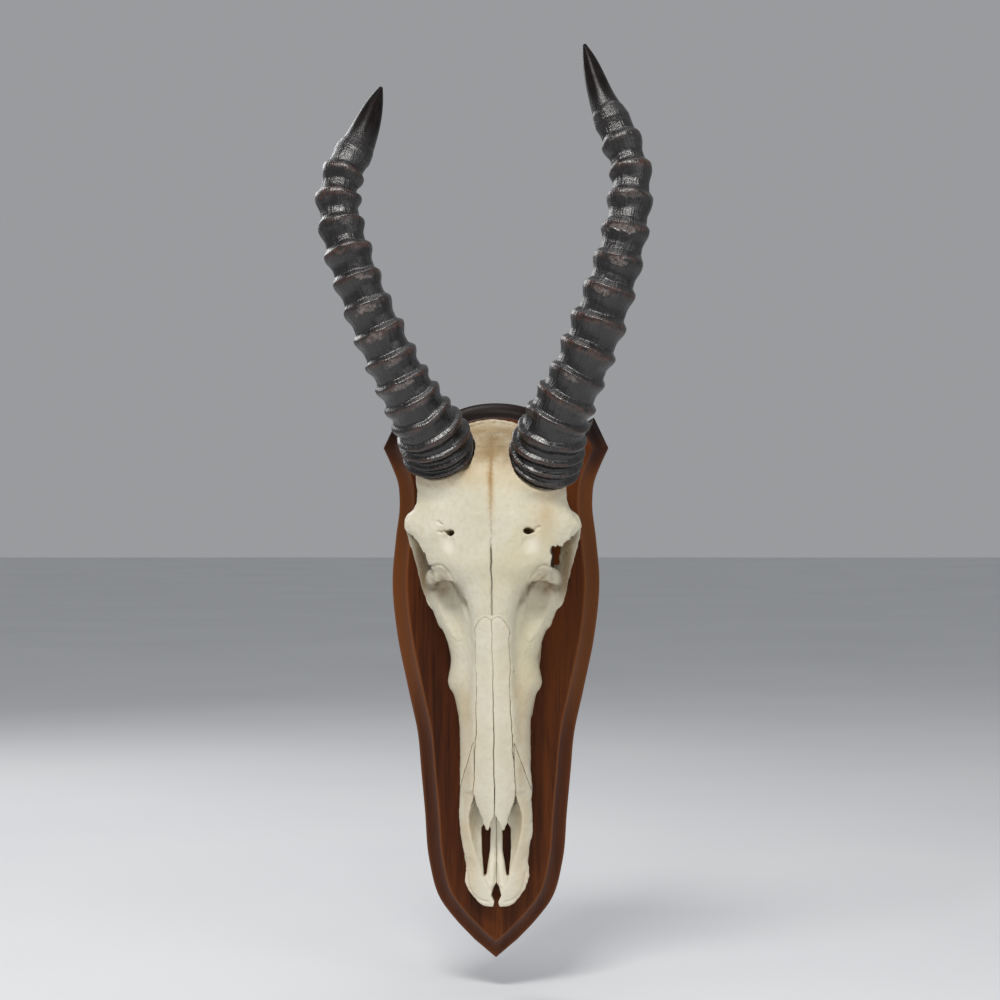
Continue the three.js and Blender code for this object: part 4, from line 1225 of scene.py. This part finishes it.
def wear_and_glint_patches(s, a, flat, index, phase, rng, seed):
    """Where the rings in a horn's middle are rubbed pale in front; the pale is partly wear and partly a
    painted highlight.
    """
    middle_rings = smooth_step(s, 0.12, 0.24) * smooth_step(0.66 - s, 0.0, 0.1)
    patch = rng.uniform(0.35, 1.0, HORN_RINGS)[index]
    aim = rng.uniform(-0.3, 0.3, HORN_RINGS)[index]
    ragged = layered_noise(flat, 4, seed + 3, 2).reshape(s.shape)
    turn = a - math.pi / 2 - aim
    arch = 0.60 - 0.16 * turn**2
    off_centre = np.sqrt((turn / (0.7 * patch)) ** 2 + ((phase - arch) / 0.13) ** 2)
    wear_and_glint = smooth_step(1 - off_centre + 0.8 * ragged, 0.0, 0.5)
    return wear_and_glint * middle_rings * smooth_step(patch, 0.42, 0.6)


def horn_faces(rows, sides):
    """Quads round a horn, and a fan at each end. The last two points are the foot's middle and the tip."""
    ring = np.arange(sides)
    after = np.roll(ring, -1)
    quads = [
        np.stack([r * sides + ring, r * sides + after, (r + 1) * sides + after, (r + 1) * sides + ring], 1)
        for r in range(rows - 1)
    ]
    last, base, end = (rows - 1) * sides, rows * sides, rows * sides + 1
    faces = [tuple(q) for q in np.concatenate(quads)]
    faces += [(base, b, c) for c, b in zip(ring, after)]
    faces += [(end, last + c, last + b) for c, b in zip(ring, after)]
    return faces


def make_horn(line, half, which, seed):
    places = np.linspace(0, 1, HORN_ROWS) ** 0.96
    middle, across, front, width, length, _ = horn_frames(line, half, which, places)
    angle = np.linspace(0, 2 * math.pi, HORN_SIDES, endpoint=False)
    s, a = np.meshgrid(places, angle, indexing="ij")
    flat = np.stack([np.cos(a).ravel() * 20, np.sin(a).ravel() * 20, s.ravel() * length], 1)
    rng = np.random.default_rng(seed)
    index, phase, bulge, fade = ring_shape(s, flat, rng, seed)
    wear_and_glint = wear_and_glint_patches(s, a, flat, index, phase, rng, seed)
    ribs = layered_noise(flat * (1.0, 1.0, 0.08), 2.8, seed + 5, 2).reshape(s.shape)
    lumps = layered_noise(flat, 9, seed + 9, 2).reshape(s.shape)
    widest = width[:, None]
    reach = widest - RING_HEIGHT * (0.3 + 0.7 * fade) + bulge * RING_HEIGHT
    reach = reach + (1 - fade) * smooth_step(s, 0.5, RING_RUN) * TIP_SWELL
    reach = reach + ribs * 0.42 * (1 - 0.6 * bulge) * smooth_step(1 - s, 0.12, 0.25) + lumps * 0.4 * fade
    reach = np.clip(reach - wear_and_glint * 0.8, 0.45 * widest, widest + 0.6)
    points = middle[:, None, :] + across[:, None, :] * (np.cos(a) * reach)[..., None]
    points = points + front[:, None, :] * (np.sin(a) * reach)[..., None]
    tip = middle[-1] + np.cross(across[-1], front[-1]) * -0.6
    vertices = np.concatenate([points.reshape(-1, 3), [middle[0], tip]]) * MM
    piece = make_object(f"horn_{which}_sheath", vertices, horn_faces(HORN_ROWS, HORN_SIDES), horn)
    masks = {
        "crest": smooth_step(bulge, 0.7, 0.98) * fade,
        # painted shade in the valleys between the rings
        "groove": (1 - smooth_step(bulge, 0.0, 0.5)) * fade,
        "wear_and_glint": wear_and_glint,
        "polished": smooth_step(s, RING_RUN - 0.04, RING_RUN + 0.06),
    }
    for name, values in masks.items():
        set_mask(piece, name, np.append(values.ravel(), [0, 1 if name == "polished" else 0]))
    set_vectors(piece, "run", np.concatenate([flat, [[0, 0, 0], [0, 0, length]]]))
    dress(piece, f"horn_{which}")


# The plaque

def plaque_half():
    """The right half of the outline, from the apex down to the foot."""
    def curve(a, b, c, count):
        t = np.linspace(0, 1, count)[:, None]
        return (1 - t) ** 2 * np.array(a) + 2 * t * (1 - t) * np.array(b) + t**2 * np.array(c)
    arch = curve((0, PLAQUE_TOP), (ARCH_REACH, PLAQUE_TOP), ARCH_SHOULDER, 40)
    dip = curve(ARCH_SHOULDER, EAR_DIP, EAR_TOP, 18)[1:]
    ear = np.linspace(EAR_TOP, EAR_TIP, 16)[1:]
    side = smooth_path(PLAQUE_SIDE, 280)[1:]
    foot = np.linspace(PLAQUE_SIDE[-1], (0, PLAQUE_FOOT), 16)[1:]
    return np.concatenate([arch, dip, ear, side, foot])


def make_plaque():
    right = plaque_half()
    outline = [tuple(p) for p in np.concatenate([right, right[1:-1][::-1] * (-1, 1)])]
    clay = Clay(*PLAQUE_ROOM, PLAQUE_CELL)
    _, x, d, z = clay.block(*PLAQUE_ROOM, 2)
    inset = -outline_distance(outline, x[:, 0], z[0])
    deep = d.ravel()
    block = np.broadcast_to(np.maximum(deep - PLAQUE_THICK, -deep)[None, :, None], clay.field.shape).copy()
    rim = inset < MOULDING[-1][0] + 3
    section = MOULDING + [(60, PLAQUE_THICK), (60, 0)]
    values = outline_distance(section, np.maximum(inset[rim], -4)[:, None], deep[None, :])
    block.transpose(0, 2, 1)[rim] = values
    clay.field = block
    places, quads = clay.skin()
    piece = make_object("plaque_board", places * (MM, -MM, MM), quads, wood)
    thinned(piece, PLAQUE_TRIANGLES)
    places = vertex_places(piece) / MM
    height = places[:, 2]
    inset = -outline_distance(outline, places[:, 0].astype(np.float32), height.astype(np.float32))
    off_back = smooth_step(-places[:, 1], 0.3, 3.0)
    edge = smooth_step(14.0 - inset, 0.0, 1.5) * off_back
    bead_and_edge_lines = spot((inset, 12.2, 0.8)) + spot((inset, 0.8, 0.9)) * 0.6
    set_mask(piece, "moulding", smooth_step(14.0 - inset, 0.0, 3.0) * off_back)
    set_mask(piece, "bead_and_edge_lines", bead_and_edge_lines * off_back)
    # Painted shade: the moulding's top band near black
    set_mask(piece, "crown", smooth_step(height, 175, 215) * edge)
    set_mask(piece, "lit_sides", smooth_step(height, -60, 20) * (1 - smooth_step(height, 165, 190)) * edge)
    dress(piece, "plaque")


make_plaque()
make_head()
make_teeth()
for horn_lines, horn_seed in zip(HORNS, HORN_SEEDS):
    make_horn(*horn_lines, horn_seed)


# Camera, floor and lights

CAMERA_PLACE = (0.0034, -2.0, 0.153)
CAMERA_LENS = 84.7
CAMERA_SENSOR = 36.0
FLOOR_HEIGHT = -0.262
FLOOR_SIZE = 30
# Lights: place, the place each points at, size, power and colour
LIGHTS = {
    "key": ((-0.45, -1.7, 1.9), (0, 0, 0.1), (0.9, 0.6), 41, (1.0, 0.98, 0.95)),
    "fill": ((1.5, -1.9, 0.9), (0, 0, 0.1), (1.2, 1.2), 8, (0.95, 0.97, 1.0)),
    "top": ((0.1, -0.3, 2.2), (0, -0.1, 0.2), (1.0, 0.6), 7, (1.0, 1.0, 1.0)),
    "back": ((-1.2, 1.5, 1.2), (0, 0, 0.2), (1.2, 1.0), 14, (1.0, 1.0, 1.0)),
}
WORLD_COLOUR = (0.80, 0.82, 0.85, 1)
WORLD_STRENGTH = 0.4

camera_data = bpy.data.cameras.new("camera")
camera_data.lens = CAMERA_LENS
camera_data.sensor_width = CAMERA_SENSOR
camera = bpy.data.objects.new("camera", camera_data)
camera.location = CAMERA_PLACE
camera.rotation_euler = (math.radians(90), 0, 0)
bpy.context.scene.collection.objects.link(camera)
bpy.context.scene.camera = camera

bpy.ops.mesh.primitive_plane_add(size=FLOOR_SIZE, location=(0, 0, FLOOR_HEIGHT))
floor = bpy.context.object
floor.name = "floor"
floor.data.materials.append(floor_material())


def add_light(name, place, aim, size, power, colour):
    data = bpy.data.lights.new(name, "AREA")
    data.shape = "RECTANGLE"
    data.size, data.size_y = size
    data.energy = power
    data.color = colour
    light = bpy.data.objects.new(name, data)
    light.location = place
    light.rotation_euler = (Vector(aim) - Vector(place)).to_track_quat("-Z", "Y").to_euler()
    bpy.context.scene.collection.objects.link(light)


for light_name, values in LIGHTS.items():
    add_light(light_name, *values)

world = bpy.data.worlds.new("world")
world.use_nodes = True
background = world.node_tree.nodes["Background"]
background.inputs["Color"].default_value = WORLD_COLOUR
background.inputs["Strength"].default_value = WORLD_STRENGTH
bpy.context.scene.world = world
bpy.context.scene.view_settings.view_transform = "Standard"
